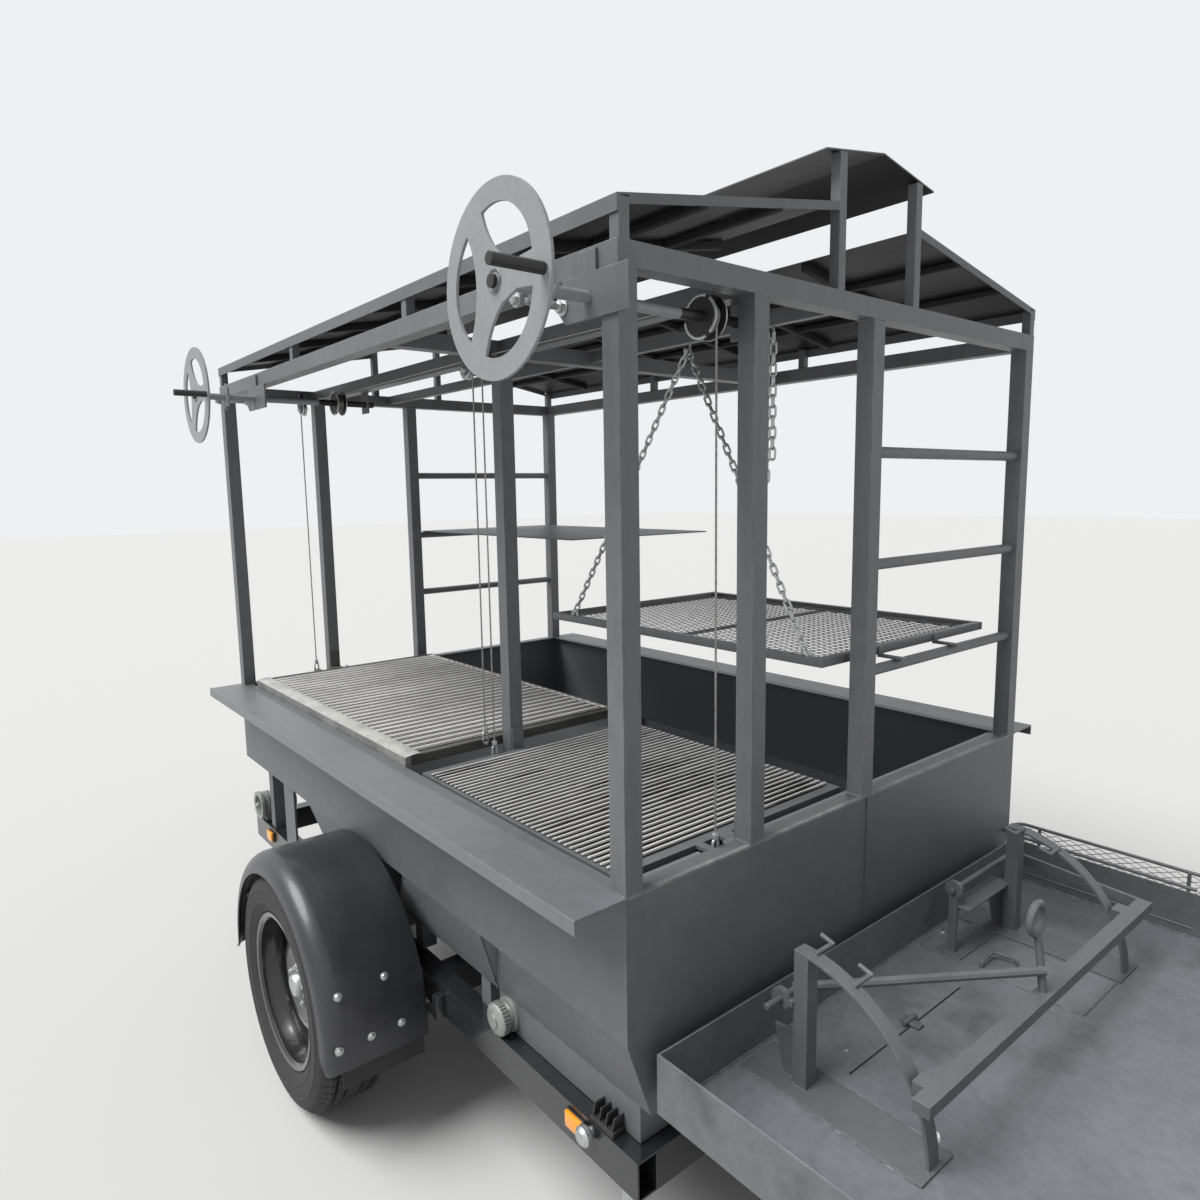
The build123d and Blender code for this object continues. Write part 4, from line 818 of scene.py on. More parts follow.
def drip_plate():
    """Light folded plate over the channels' left ends, which leads the fat to the gutter."""
    low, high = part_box("grease_gutter")
    lip = FRONT_TOP + 0.0021
    line = [(GRATE_Y[1] - 0.028, lip), (GRATE_Y[1] - ROD_END + 0.001, lip),
            (GRATE_Y[1] + 0.0005, FRONT_TOP + 0.0003), (high.y - 0.0004, high.z + 0.0002)]
    outline = [(low.x, y, z) for y, z in line] + [(low.x, y, z + 0.0014) for y, z in line[::-1]]
    plate = Shape()
    plate.prism(outline, (high.x - low.x, 0, 0))
    plate.made("drip_plate", drip_steel, "front_lift", "grate_steel", soft=0.0003)


def grate_shackles(name, body, lines, top):
    """Thimble, clamp and bolt that tie each cable to its lug."""
    loops = []
    shape = Shape()
    for x in lines:
        y = CABLE_Y
        loops.append([(x, y - 0.007, top - 0.009), (x, y - 0.007, top + 0.022), (x, y + 0.007, top + 0.022),
                      (x, y + 0.007, top - 0.009)])
        shape.box((x - 0.004, x + 0.004), (y - 0.006, y + 0.006), (top + 0.022, top + 0.036))
        shape.rod((x - 0.006, y, top - 0.010), (x + 0.006, y, top - 0.010), 0.006, 6)
    grown(name + "_shackles", wire_tree, wires(loops), zinc, body, "zinc", Radius=0.0028, Bend=0.006)
    shape.made(name + "_cable_clamps", zinc, body, "zinc", soft=0.0008)


CABLE_Y = LEFT - 0.270
REAR_LINES = (REAR + 0.0429, GUIDE_X - 0.0029)
FRONT_LINES = (GUIDE_X + POST + 0.0029, FRONT - POST - 0.0029)
grate_rods()
drip_plate()
grate_shackles("rear_grate", "rear_lift", REAR_LINES, GRATE_TOP)
grate_shackles("front_grate", "front_lift", FRONT_LINES, FRONT_TOP)

STRIP_X = (REAR + 0.020, REAR + 0.056)
STRIP_Z = (RIM - 0.0078, RIM - 0.0038)
LUG_ROOM = 0.035


def rim_strips():
    """Flat strips lapped under the rear rim's flange, with a gap where the grate's lug passes."""
    strips = Shape()
    for y in ((SHEET - LEFT, CABLE_Y - LUG_ROOM), (CABLE_Y + LUG_ROOM, LEFT - SHEET)):
        strips.box(STRIP_X, y, STRIP_Z)
    # The strips take the ledges' lightened paint, whose bright worn edges are a painted highlight over
    # rubbing.
    strips.made("rim_strips", sky_lit_ledge_paint, soft=0.0006)


rim_strips()

# Winches. A handwheel cut from plate turns a shaft with a saw-toothed ratchet and a cable drum; the
# pawl is bolted to the outer plate, and twisted wire cables run over grooved sheaves to the lugs.
DRUM_FACE = LEFT - 0.20
GRIP_FOOT = LEFT + 0.1812


def drum_side(place, facing, cloud):
    """Greasy black on the drum inside the frame and on the crank's grip outside the wheel."""
    across = place.split()[1]
    drum = (DRUM_FACE - across).step(0, 0.001)
    grip = (across - GRIP_FOOT).step(0, 0.001)
    return (drum + grip) * cloud.step(0.2, 0.5, 0.9, 1.0)


wheel_paint = finish("wheel_paint", (0.215, 0.220, 0.232), (0.265, 0.270, 0.282), scale=6,
                     worn=(0.4, 0.4, 0.4), wear=0.6, rough=(0.42, 0.55), stain=(0.014, 0.014, 0.014),
                     stain_where=drum_side)
cable_steel = finish("cable_steel", (0.22, 0.22, 0.215), (0.34, 0.34, 0.33), scale=60, rough=(0.35, 0.5),
                     metallic=0.7)
coat(wheel_paint, "handwheel_rear", "handwheel_front")
coat(post_paint, "winch_plates_rear", "winch_plates_front")
SHAFT_Z = BEAM_Z - 0.038
WINCH_X = {"rear": REAR + 0.070, "front": REAR + 1.780}
PLATE_OUT = LEFT + 0.0053
RATCHET_Y = (LEFT + 0.090, LEFT + 0.096)
DISC_OUT = LEFT + 0.180
HUB_R = 0.0165
DRUM_RING = (0.0350, 0.0404)
RING_DEPTH = 0.0029
COIL_R = 0.0271
COIL_PITCH = 0.0042
COIL_TURNS = 5
CABLE_R = 0.0019


def washer_and_nut(shape, x, y, z, size, out=1):
    """Round washer with a hexagon nut on it, facing along Y."""
    shape.rod((x, y, z), (x, y + out * size * 0.16, z), size, 20)
    shape.rod((x, y + out * size * 0.14, z), (x, y + out * size * 0.75, z), size * 0.72, 6)


def winding(x, y, radius, steps, turns=1, pitch=0.0):
    """Points wound round the shaft's line, which move along it by the pitch at every turn."""
    points = []
    for i in range(turns * steps + 1):
        turn = 2 * math.pi * i / steps
        points.append((x + radius * math.cos(turn), y + pitch * i / steps, SHAFT_Z + radius * math.sin(turn)))
    return points


def winch_trim(name):
    """Weld round the hub, bright worn drum rings and the coiled cable, which turn with the wheel."""
    x = WINCH_X[name]
    body = name + "_winch"
    ring = winding(x, DISC_OUT, HUB_R, 24)
    grown(name + "_hub_weld", bead_tree, wires([ring]), wheel_paint, body, Radius=0.0024)
    rings = Shape()
    inner, outer = DRUM_RING
    for low in (-0.0154, 0.0125):
        section = [(inner, low), (outer, low), (outer, low + RING_DEPTH), (inner, low + RING_DEPTH)]
        for start in (8, 128, 248):
            rings.turned(section, (x, CABLE_Y, SHAFT_Z), 20, start, 104)
    rings.made(name + "_drum_rings", zinc, body, "zinc", soft=0.0004)
    coil = winding(x, CABLE_Y - 0.010, COIL_R, 20, COIL_TURNS, COIL_PITCH)
    grown(name + "_drum_cable", wire_tree, wires([coil]), cable_steel, body, "charcoal_paint",
          Radius=CABLE_R, Bend=0.0, Sides=6)


def winch_pawl(name):
    """Pawl on its bolt through the outer plate, with a nut and washer at each end."""
    x = WINCH_X[name] + 0.066
    z = SHAFT_Z - 0.004
    shape = Shape()
    tip_x = WINCH_X[name] + 0.0445
    pawl = [(x - 0.010, z - 0.010), (x + 0.012, z - 0.010), (x + 0.014, z + 0.008), (x, z + 0.016),
            (tip_x, SHAFT_Z + 0.012), (tip_x, SHAFT_Z + 0.004), (x - 0.012, z + 0.004)]
    outline = [(px, RATCHET_Y[0] - 0.001, pz) for px, pz in pawl]
    shape.prism(outline, (0, RATCHET_Y[1] - RATCHET_Y[0] + 0.002, 0))
    shape.made(name + "_pawl", wheel_paint, soft=0.0008)
    bolt = Shape()
    bolt.rod((x, PLATE_OUT, z), (x, RATCHET_Y[1] + 0.004, z), 0.006, 16)
    washer_and_nut(bolt, x, PLATE_OUT, z, 0.015)
    washer_and_nut(bolt, x, RATCHET_Y[1] + 0.0012, z, 0.012)
    bolt.made(name + "_pawl_bolt", zinc, slot="zinc", soft=0.0006)


for winch in ("rear", "front"):
    winch_trim(winch)
    winch_pawl(winch)

SHEAVES = (     # line of the cable, way from the post, face of the post, winch
    (REAR_LINES[1], -1, GUIDE_X, "rear"),
    (FRONT_LINES[0], 1, GUIDE_X + POST, "front"),
    (FRONT_LINES[1], -1, FRONT - POST, "front"),
)
SHEAVE_OFF = 0.025
SHEAVE_Z = BEAM_Z - 0.029
SHEAVE_RUN = 0.0236
SHEAVE_SECTION = [(0.006, -0.007), (0.026, -0.007), (0.0262, -0.0058), (0.0222, -0.0012), (0.0222, 0.0012),
                  (0.0262, 0.0058), (0.026, 0.007), (0.006, 0.007)]


def cable_sheaves():
    """Grooved sheaves between cheek plates, on bolts, hung from the beams."""
    plates = Shape()
    wheels = Shape()
    bolts = Shape()
    z = SHEAVE_Z
    for line, away, beam, _ in SHEAVES:
        x = line + away * SHEAVE_OFF
        wheels.turned(SHEAVE_SECTION, (x, CABLE_Y, z), 40)
        for side in (-1, 1):
            y = sorted((CABLE_Y + side * 0.0078, CABLE_Y + side * 0.0108))
            ends = (beam, x + away * 0.012)
            outline = [(ends[0], y[0], BEAM_TOP - 0.010), (ends[0], y[0], z - 0.004), (x, y[0], z - 0.016),
                       (ends[1], y[0], z - 0.004), (ends[1], y[0], z + 0.012), (x, y[0], BEAM_TOP - 0.010)]
            plates.prism(outline, (0, y[1] - y[0], 0))
        bolts.rod((x, CABLE_Y - 0.016, z), (x, CABLE_Y + 0.016, z), 0.005, 12)
        washer_and_nut(bolts, x, CABLE_Y + 0.0109, z, 0.009)
    wheels.made("cable_sheaves", zinc, slot="zinc", soft=0.0004, stands_for=["cable_pulleys"])
    plates.made("sheave_cheeks", charcoal, soft=0.0006)
    bolts.made("sheave_bolts", zinc, slot="zinc", soft=0.0004)


cable_sheaves()


def rope_tree():
    """Upright cable of twisted strands."""
    source = geometry_tree("rope", Step=0.004, Twist=1.05, Radius=0.0012)
    path = stepped_path(source, source.sister("Step"))
    angle = source.node("GeometryNodeInputIndex") * source.sister("Twist")
    radius = source.sister("Radius")
    whole = source.node("GeometryNodeJoinGeometry")
    for strand in range(3):
        turn = angle + strand * 2 * math.pi / 3
        swing = source.join(turn.maths("COSINE", turn) * radius, turn.maths("SINE", turn) * radius)
        moved = source.node("GeometryNodeSetPosition", inputs={"Geometry": path, "Offset": swing})
        whole.give(whole.socket.node.inputs["Geometry"], round_bar(source, moved, 5, radius * 1.05))
    return close_tree(source, whole)


rope = rope_tree()
LIFTS = (       # winch, cable lines, grate's top, heads of the cables, lift
    ("rear", REAR_LINES, GRATE_TOP, (SHAFT_Z, SHEAVE_Z), 0.280),
    ("front", FRONT_LINES, FRONT_TOP, (SHEAVE_Z, SHEAVE_Z), 0.250),
)
CABLE_FOOT = 0.034


def lifting_cables():
    """Hanging lengths from the grates' lugs up to their heads, and the runs along the beams to the sheaves.
    """
    for name, lines, top, heads, lift in LIFTS:
        foot = top + CABLE_FOOT
        for place, line, head in zip(("back", "fore"), lines, heads):
            path = wires([[(line, CABLE_Y, foot), (line, CABLE_Y, head)]])
            piece = grown(f"{name}_cable_{place}", rope, path, cable_steel)
            1 - lift / (head - foot)
            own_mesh(piece)
    runs = []
    bend = [(math.sin(math.radians(a)), math.cos(math.radians(a))) for a in range(0, 91, 15)]
    for line, away, _, drum in SHEAVES:
        x = line + away * SHEAVE_OFF
        over = [(x - away * SHEAVE_RUN * s, CABLE_Y, SHEAVE_Z + SHEAVE_RUN * c) for s, c in bend]
        runs.append([(WINCH_X[drum], CABLE_Y, SHAFT_Z + 0.0265)] + over)
    grown("cable_runs", wire_tree, wires(runs), cable_steel, Radius=CABLE_R, Bend=0.0, Sides=6)


lifting_cables()

# Chassis, drawbar and lamps. Box rails and two drawbar beams in gloss black on a galvanised axle, with
# amber markers on the rails, a red and amber lamp at each rear corner, and the steadies' clamps and knobs.
gloss_black = finish("gloss_black", (0.012, 0.0125, 0.014), (0.020, 0.021, 0.023), scale=5,
                     rough=(0.16, 0.30), coat=0.4, worn=(0.12, 0.12, 0.12), wear=0.35, grain=(150, 0.04))
black_plastic = finish("black_plastic", (0.018, 0.018, 0.019), (0.026, 0.026, 0.027), scale=20,
                       rough=(0.4, 0.55))
amber = finish("amber_lens", (0.80, 0.27, 0.010), (0.90, 0.36, 0.015), scale=40, rough=(0.12, 0.22), coat=0.6,
               grain=(60, 0.1))
red_lens = finish("red_lens", (0.42, 0.012, 0.010), (0.52, 0.02, 0.014), scale=40, rough=(0.12, 0.22),
                  coat=0.6, grain=(60, 0.1))
coat(gloss_black, "chassis_frame", "drawbar", "guard_bracket_left", "guard_bracket_right", "tray_carrier")
coat(zinc, "axle_beam", "swing_arm_left", "swing_arm_right", "steady_left", "steady_right")
MARKER_STEPS = (0.155, 1.980)       # from the rear
MARKER_LENGTH = 0.050
LAMP_LENGTH = 0.160
AMBER_LENGTH = 0.055


def side_markers():
    """Amber lens with eased edges on a black base."""
    lenses = Shape()
    bases = Shape()
    low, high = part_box("side_markers")
    rail_y = high.y - 0.0117
    for step in MARKER_STEPS:
        x = (REAR + step, REAR + step + MARKER_LENGTH)
        for side in (1, -1):
            bases.box((x[0] - 0.003, x[1] + 0.003), span(side, rail_y, rail_y + 0.004),
                      (low.z - 0.001, high.z + 0.001))
            lenses.box(x, span(side, rail_y + 0.003, high.y), (low.z, high.z))
    lenses.made("marker_lenses", amber, slot="amber_lens", soft=0.0025, stands_for=["side_markers"])
    bases.made("marker_bases", black_plastic, slot="chassis_paint", soft=0.0008)


def tail_lamps():
    """Cross bar with a lamp at each end: the red lens inside, the amber one outside."""
    low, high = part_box("tail_lamps")
    lens_x = (low.x, low.x + 0.012)
    bar = Shape()
    red = Shape()
    orange = Shape()
    bar.box((low.x + 0.025, high.x), (low.y, high.y), (high.z - 0.034, high.z))
    lens_z = (low.z + 0.003, high.z - 0.003)
    outer, inner, split = high.y, high.y - LAMP_LENGTH, high.y - AMBER_LENGTH
    for side in (1, -1):
        bar.box((low.x + 0.010, low.x + 0.026), span(side, outer, inner), (low.z, high.z))
        red.box(lens_x, span(side, split - 0.001, inner + 0.003), lens_z)
        orange.box(lens_x, span(side, outer - 0.003, split), lens_z)
    bar.made("tail_lamp_bar", black_plastic, slot="chassis_paint", soft=0.002, stands_for=["tail_lamps"])
    red.made("tail_lamp_red", red_lens, slot="amber_lens", soft=0.003)
    orange.made("tail_lamp_amber", amber, slot="amber_lens", soft=0.003)


side_markers()
tail_lamps()

RAIL_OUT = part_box("chassis_frame")[1].y
RAIL_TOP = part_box("chassis_frame")[1].z
CLAMP_X = REAR + 0.105
KNOB_X = REAR + 0.136
KNOB_SECTION = [(0.001, 0.006), (0.015, 0.006), (0.020, 0.011), (0.020, 0.021), (0.014, 0.027),
                (0.001, 0.028)]


def mirrored(section, side):
    """Section of a turned piece that faces outwards on the left (1) or the right (-1)."""
    return [(radius, side * along) for radius, along in section]


def rail_end_fittings():
    """Steady's clamp on the rail's top, with fins, and its turned grey knob on the rail's side."""
    clamp = Shape()
    knob = Shape()
    knob_z = RAIL_TOP - 0.022
    for side in (1, -1):
        y = side * RAIL_OUT
        clamp.box((CLAMP_X - 0.034, CLAMP_X + 0.034), span(side, RAIL_OUT - 0.044, RAIL_OUT - 0.002),
                  (RAIL_TOP, RAIL_TOP + 0.012))
        for fin in range(4):
            fx = CLAMP_X - 0.030 + fin * 0.019
            outline = [(fx, y - side * 0.042, RAIL_TOP + 0.010), (fx, y - side * 0.004, RAIL_TOP + 0.010),
                       (fx, y - side * 0.010, RAIL_TOP + 0.036), (fx, y - side * 0.036, RAIL_TOP + 0.036)]
            clamp.prism(outline, (0.004, 0, 0))
        knob.rod((KNOB_X, y, knob_z), (KNOB_X, y + side * 0.012, knob_z), 0.010, 16)
        knob.turned(mirrored(KNOB_SECTION, side), (KNOB_X, y, knob_z), 28)
    clamp.made("steady_clamps", black_plastic, slot="chassis_paint", soft=0.001)
    knob.made("steady_knobs", zinc, slot="zinc", soft=0.0)


rail_end_fittings()

# Coupling and jockey wheel. Galvanised pressings and tube on the nose of the drawbar: a ball coupling
# with its lever, and a clamped prop stand with a rubber roller.
rubber = finish("rubber", (0.015, 0.015, 0.016), (0.026, 0.025, 0.025), scale=18, rough=(0.62, 0.82),
                grain=(600, 0.2), worn=(0.06, 0.06, 0.058), wear=0.5)
coat(zinc, "coupling_head", "jockey_clamp", "jockey_tube", "jockey_fork")
coat(rubber, "jockey_wheel")
JOCKEY_LOW, JOCKEY_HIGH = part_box("jockey_wheel")
STEM_LOW, STEM_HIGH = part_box("jockey_tube")
BRIDGE_PLATE = 0.008
BRIDGE_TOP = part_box("drawbar")[1].z + BRIDGE_PLATE
EAR_Y = (0.0275, 0.058)


def jockey_trim():
    """Bright hub plates on both sides of the roller, and the clamp's two ears with their bent bolt."""
    middle = (JOCKEY_LOW + JOCKEY_HIGH) / 2
    hub = Shape()
    for side, edge in ((1, JOCKEY_HIGH.y), (-1, -JOCKEY_LOW.y)):
        section = [(0.004, edge - 0.004), (0.034, edge - 0.004), (0.030, edge + 0.002), (0.004, edge + 0.003)]
        hub.turned(mirrored(section, side), (middle.x, 0, middle.z), 32)
    hub.made("jockey_hub_plates", zinc, "jockey_roller", "zinc", soft=0.0)
    x = (STEM_LOW.x + STEM_HIGH.x) / 2
    z = BRIDGE_TOP
    ears = Shape()
    for side in (-1, 1):
        ears.box(sorted((x + side * 0.005, x + side * 0.014)), EAR_Y, (z - 0.0005, z + 0.042))
    ears.made("jockey_clamp_ears", zinc, slot="zinc", soft=0.0012)
    bolt = [(x - 0.024, 0.046, z + 0.022), (x + 0.034, 0.046, z + 0.022), (x + 0.040, 0.052, z + 0.085)]
    grown("jockey_clamp_bolt", wire_tree, wires([bolt]), zinc, slot="zinc", Radius=0.005, Bend=0.012)


jockey_trim()

# Wheels. Road tyres on black pressed steel rims with round vents, and bright hubs with five nuts;
# they are turned about the stub, and the shoulder blocks and nuts are laid round it.
WHEELS = {"left": 1, "right": -1}
TYRE_LOW, TYRE_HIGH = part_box("tyre_left")
AXLE = (TYRE_LOW + TYRE_HIGH) / 2
TYRE_R = (TYRE_HIGH.z - TYRE_LOW.z) / 2
NUT_RING = 0.050
NUTS = 5
VENT_RING = 0.1400
VENT_R = 0.0135
VENTS = 8
TREAD_BLOCKS = 72
VALVE_FOOT = (-0.150, 0.030, -0.0815)       # from the wheel's middle
rim_paint = finish("rim_paint", (0.011, 0.011, 0.012), (0.018, 0.018, 0.019), scale=9, rough=(0.14, 0.28),
                   coat=0.5, worn=(0.16, 0.16, 0.16), wear=0.4, grain=(120, 0.04), soft=0.0015)


def around_tree():
    """The start piece laid round a line along Y."""
    source = geometry_tree("around", Count=8, Centre=(0.0, 0.0, 0.0))
    count = source.sister("Count")
    points = source.node("GeometryNodeMeshLine", inputs={
        "Count": count, "Start Location": source.sister("Centre"), "Offset": (0.0, 0.0, 0.0)})
    turn = source.join(y=source.node("GeometryNodeInputIndex") / count * (2 * math.pi))
    laid = source.node("GeometryNodeInstanceOnPoints", inputs={
        "Points": points, "Instance": source, "Rotation": turn})
    return close_tree(source, laid)


around = around_tree()
TYRE_HALF = [(0.188, 0.062), (0.1925, 0.0700), (0.2000, 0.0752), (0.2045, 0.0764), (0.2062, 0.0790),
             (0.2150, 0.0838), (0.2280, 0.0880), (0.2296, 0.0896), (0.2330, 0.0902), (0.2348, 0.0890),
             (0.2400, 0.0898), (0.2480, 0.0910), (0.2620, 0.0915), (0.2636, 0.0925), (0.2664, 0.0923),
             (0.2680, 0.0908), (0.2800, 0.0876), (0.2900, 0.0828), (0.2975, 0.0765), (0.3030, 0.0690),
             (0.3062, 0.0600), (0.3074, 0.0540), (0.3000, 0.0528), (0.3000, 0.0470), (0.3083, 0.0458),
             (0.3090, 0.0258), (0.3010, 0.0246), (0.3010, 0.0186), (0.3094, 0.0176)]
RIM_SECTION = [(0.2022, 0.0768), (0.1940, 0.0752), (0.1885, 0.0690), (0.1878, 0.0560), (0.1820, 0.0400),
               (0.1750, 0.0120), (0.1750, -0.0180), (0.1800, -0.0500), (0.1878, -0.0600), (0.1885, -0.0690),
               (0.1940, -0.0752), (0.2022, -0.0768), (0.2030, -0.0790), (0.2008, -0.0805), (0.1915, -0.0790),
               (0.1850, -0.0730), (0.1835, -0.0620), (0.1765, -0.0520), (0.1710, -0.0180), (0.1710, 0.0120),
               (0.1780, 0.0420), (0.1836, 0.0580), (0.1850, 0.0730), (0.1915, 0.0790), (0.2008, 0.0805),
               (0.2030, 0.0790)]
DISH_SECTION = [(0.1735, 0.0060), (0.1660, 0.0010), (0.1580, 0.0000), (0.1480, 0.0030), (0.1360, 0.0120),
                (0.1260, 0.0230), (0.1160, 0.0300), (0.1040, 0.0322), (0.0900, 0.0290), (0.0760, 0.0250),
                (0.0160, 0.0260), (0.0160, 0.0210), (0.0760, 0.0200), (0.0900, 0.0240), (0.1040, 0.0270),
                (0.1150, 0.0250), (0.1240, 0.0190), (0.1340, 0.0080), (0.1470, -0.0020), (0.1580, -0.0050),
                (0.1680, -0.0040), (0.1735, 0.0000)]
DRUM_SECTION = [(0.0155, -0.034), (0.058, -0.034), (0.058, 0.020), (0.0155, 0.020)]
HUB_SECTION = [(0.001, 0.024), (0.036, 0.024), (0.036, 0.031), (0.0325, 0.033), (0.0310, 0.046),
               (0.0270, 0.0515), (0.0150, 0.0535), (0.001, 0.0540)]
TREAD_ROWS = ((0.0540, 0.0665), (0.0262, 0.0455), (-0.0172, 0.0172), (-0.0455, -0.0262), (-0.0665, -0.0540))


def vented_dish(side, centre):
    """Dish of the rim with eight round vents cut through it."""
    dish = Shape()
    dish.turned(mirrored(DISH_SECTION, side), centre, 96)
    dish_piece = bpy.data.objects.new("dish_start", dish.data())
    cutter = Shape()
    for vent in range(VENTS):
        angle = 2 * math.pi * vent / VENTS
        x, z = centre.x + VENT_RING * math.cos(angle), centre.z + VENT_RING * math.sin(angle)
        place = Vector((x, centre.y, z))
        cutter.rod(place - Vector((0, 0.06, 0)), place + Vector((0, 0.06, 0)), VENT_R, 20)
    cutter_piece = bpy.data.objects.new("vent_start", cutter.data())
    for piece in (dish_piece, cutter_piece):
        scene.collection.objects.link(piece)
    cut = dish_piece.modifiers.new("Cut", "BOOLEAN")
    cut.object = cutter_piece
    cut.operation = "DIFFERENCE"
    cut.solver = "EXACT"
    depsgraph = bpy.context.evaluated_depsgraph_get()
    data = bpy.data.meshes.new_from_object(dish_piece.evaluated_get(depsgraph))
    dish_piece.modifiers.remove(cut)
    for piece in (dish_piece, cutter_piece):
        bpy.data.objects.remove(piece)
    return data


def wheel(name, side):
    """Tyre with its tread, rim with its dish, and hub with its nuts."""
    centre = Vector((AXLE.x, side * AXLE.y, AXLE.z))
    body = f"wheel_{name}"
    outline = TYRE_HALF + [(radius, -along) for radius, along in reversed(TYRE_HALF)]
    tyre = Shape()
    tyre.turned(outline, centre, 120)
    tyre.made(f"road_tyre_{name}", rubber, body, "tyre_rubber", stands_for=[f"tyre_{name}"], angle=25)
    block = Shape()
    for low, high in TREAD_ROWS:
        block.box((-0.0115, 0.0115), (low, high), (TYRE_R - 0.006, TYRE_R - 0.0004))
    for out in (1, -1):
        outline = [(-0.0085, out * 0.0640, TYRE_R - 0.0040), (-0.0085, out * 0.0770, TYRE_R - 0.0120),
                   (-0.0085, out * 0.0845, TYRE_R - 0.0210), (-0.0085, out * 0.0800, TYRE_R - 0.0230),
                   (-0.0085, out * 0.0620, TYRE_R - 0.0080)]
        block.prism(outline, (0.0170, 0, 0))
    grown(f"tyre_tread_{name}", around, block.data(), rubber, body, "tyre_rubber", Count=TREAD_BLOCKS,
          Centre=tuple(centre))
    barrel = Shape()
    barrel.turned(mirrored(RIM_SECTION, side), centre, 96)
    barrel.made(f"rim_barrel_{name}", rim_paint, body, "rim_paint", stands_for=[f"wheel_rim_{name}"],
                angle=25)
    keep(f"rim_dish_{name}", vented_dish(side, centre), rim_paint, body, angle=40)
    hub = Shape()
    for section in (DRUM_SECTION, HUB_SECTION):
        hub.turned(mirrored(section, side), centre, 48)
    hub.made(f"hub_{name}", zinc, body, "zinc", angle=30)
    nut = Shape()
    y = span(side, 0.0245, 0.0275)
    nut.rod((0, y[0], NUT_RING), (0, y[1], NUT_RING), 0.0120, 20)
    nut.rod((0, side * 0.0270, NUT_RING), (0, side * 0.0390, NUT_RING), 0.0098, 6)
    nut.rod((0, side * 0.0385, NUT_RING), (0, side * 0.0430, NUT_RING), 0.0055, 12)
    grown(f"wheel_nuts_{name}", around, nut.data(), zinc, body, "zinc", Count=NUTS, Centre=tuple(centre))
    valve = Shape()
    foot = centre + Vector((VALVE_FOOT[0], side * VALVE_FOOT[1], VALVE_FOOT[2]))
    valve.rod(foot, foot + Vector((0.010, side * 0.032, 0.0055)), 0.0045, 12)
    valve.made(f"tyre_valve_{name}", rubber, body, "tyre_rubber")


for name, side in WHEELS.items():
    wheel(name, side)

# Mudguards. Moulded black plastic half rounds with a rolled outer shoulder, a rubber strip below the
# rear end, and zinc bolts that hold each end to a flat strap from the rail.
guard_plastic = finish("guard_plastic", (0.026, 0.027, 0.031), (0.036, 0.037, 0.042), scale=7,
                       rough=(0.30, 0.42), grain=(380, 0.10), coat=0.15, soft=0.001)
GUARD_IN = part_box("mudguard_left")[0].y
GUARD_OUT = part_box("mudguard_left")[1].y
GUARD_R = AXLE.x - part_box("mudguard_left")[0].x + 0.003
GUARD_SHEET = 0.004
SHOULDER = (0.044, 0.046)       # down and across
GUARD_BOLTS = ((0.952, 0.447), (0.836, 0.451), (0.810, 0.334), (0.887, 0.333), (0.965, 0.330))     # y, z
GUARD_ENDS = ((0.010, 0.97), (0.020, 0.85), (0.030, 0.62), (0.038, 0.25))       # below the axle, turn
FRONT_SHORTER = 0.6
FRONT_FLATTER = 0.9
GUARD_STEPS = 60
RUBBER_FOOT = 0.226


def guard_section(side, turn=1.0):
    """Closed section of the guard; turn shrinks its turned-down edges towards a flat end."""
    outer = [(-0.012 * turn, GUARD_IN), (-0.003, GUARD_IN + 0.001), (0.0, GUARD_IN + 0.006)]
    inner = [(-0.012 * turn, GUARD_IN + GUARD_SHEET), (-0.006, GUARD_IN + GUARD_SHEET + 0.003),
             (-GUARD_SHEET, GUARD_IN + 0.010)]
    down, across = SHOULDER
    start = GUARD_OUT - across
    for step in range(0, 91, 10):
        s, fall = math.sin(math.radians(step)), 1 - math.cos(math.radians(step))
        outer.append((-down * fall * turn, start + across * s))
        inner.append((-GUARD_SHEET - (down - GUARD_SHEET) * fall * turn, start + (across - GUARD_SHEET) * s))
    outer.append((-(down + 0.007) * turn, GUARD_OUT + 0.0015))
    inner.append((-(down + 0.007) * turn, GUARD_OUT - 0.003))
    return [(GUARD_R + radius, side * along) for radius, along in outer + inner[::-1]]


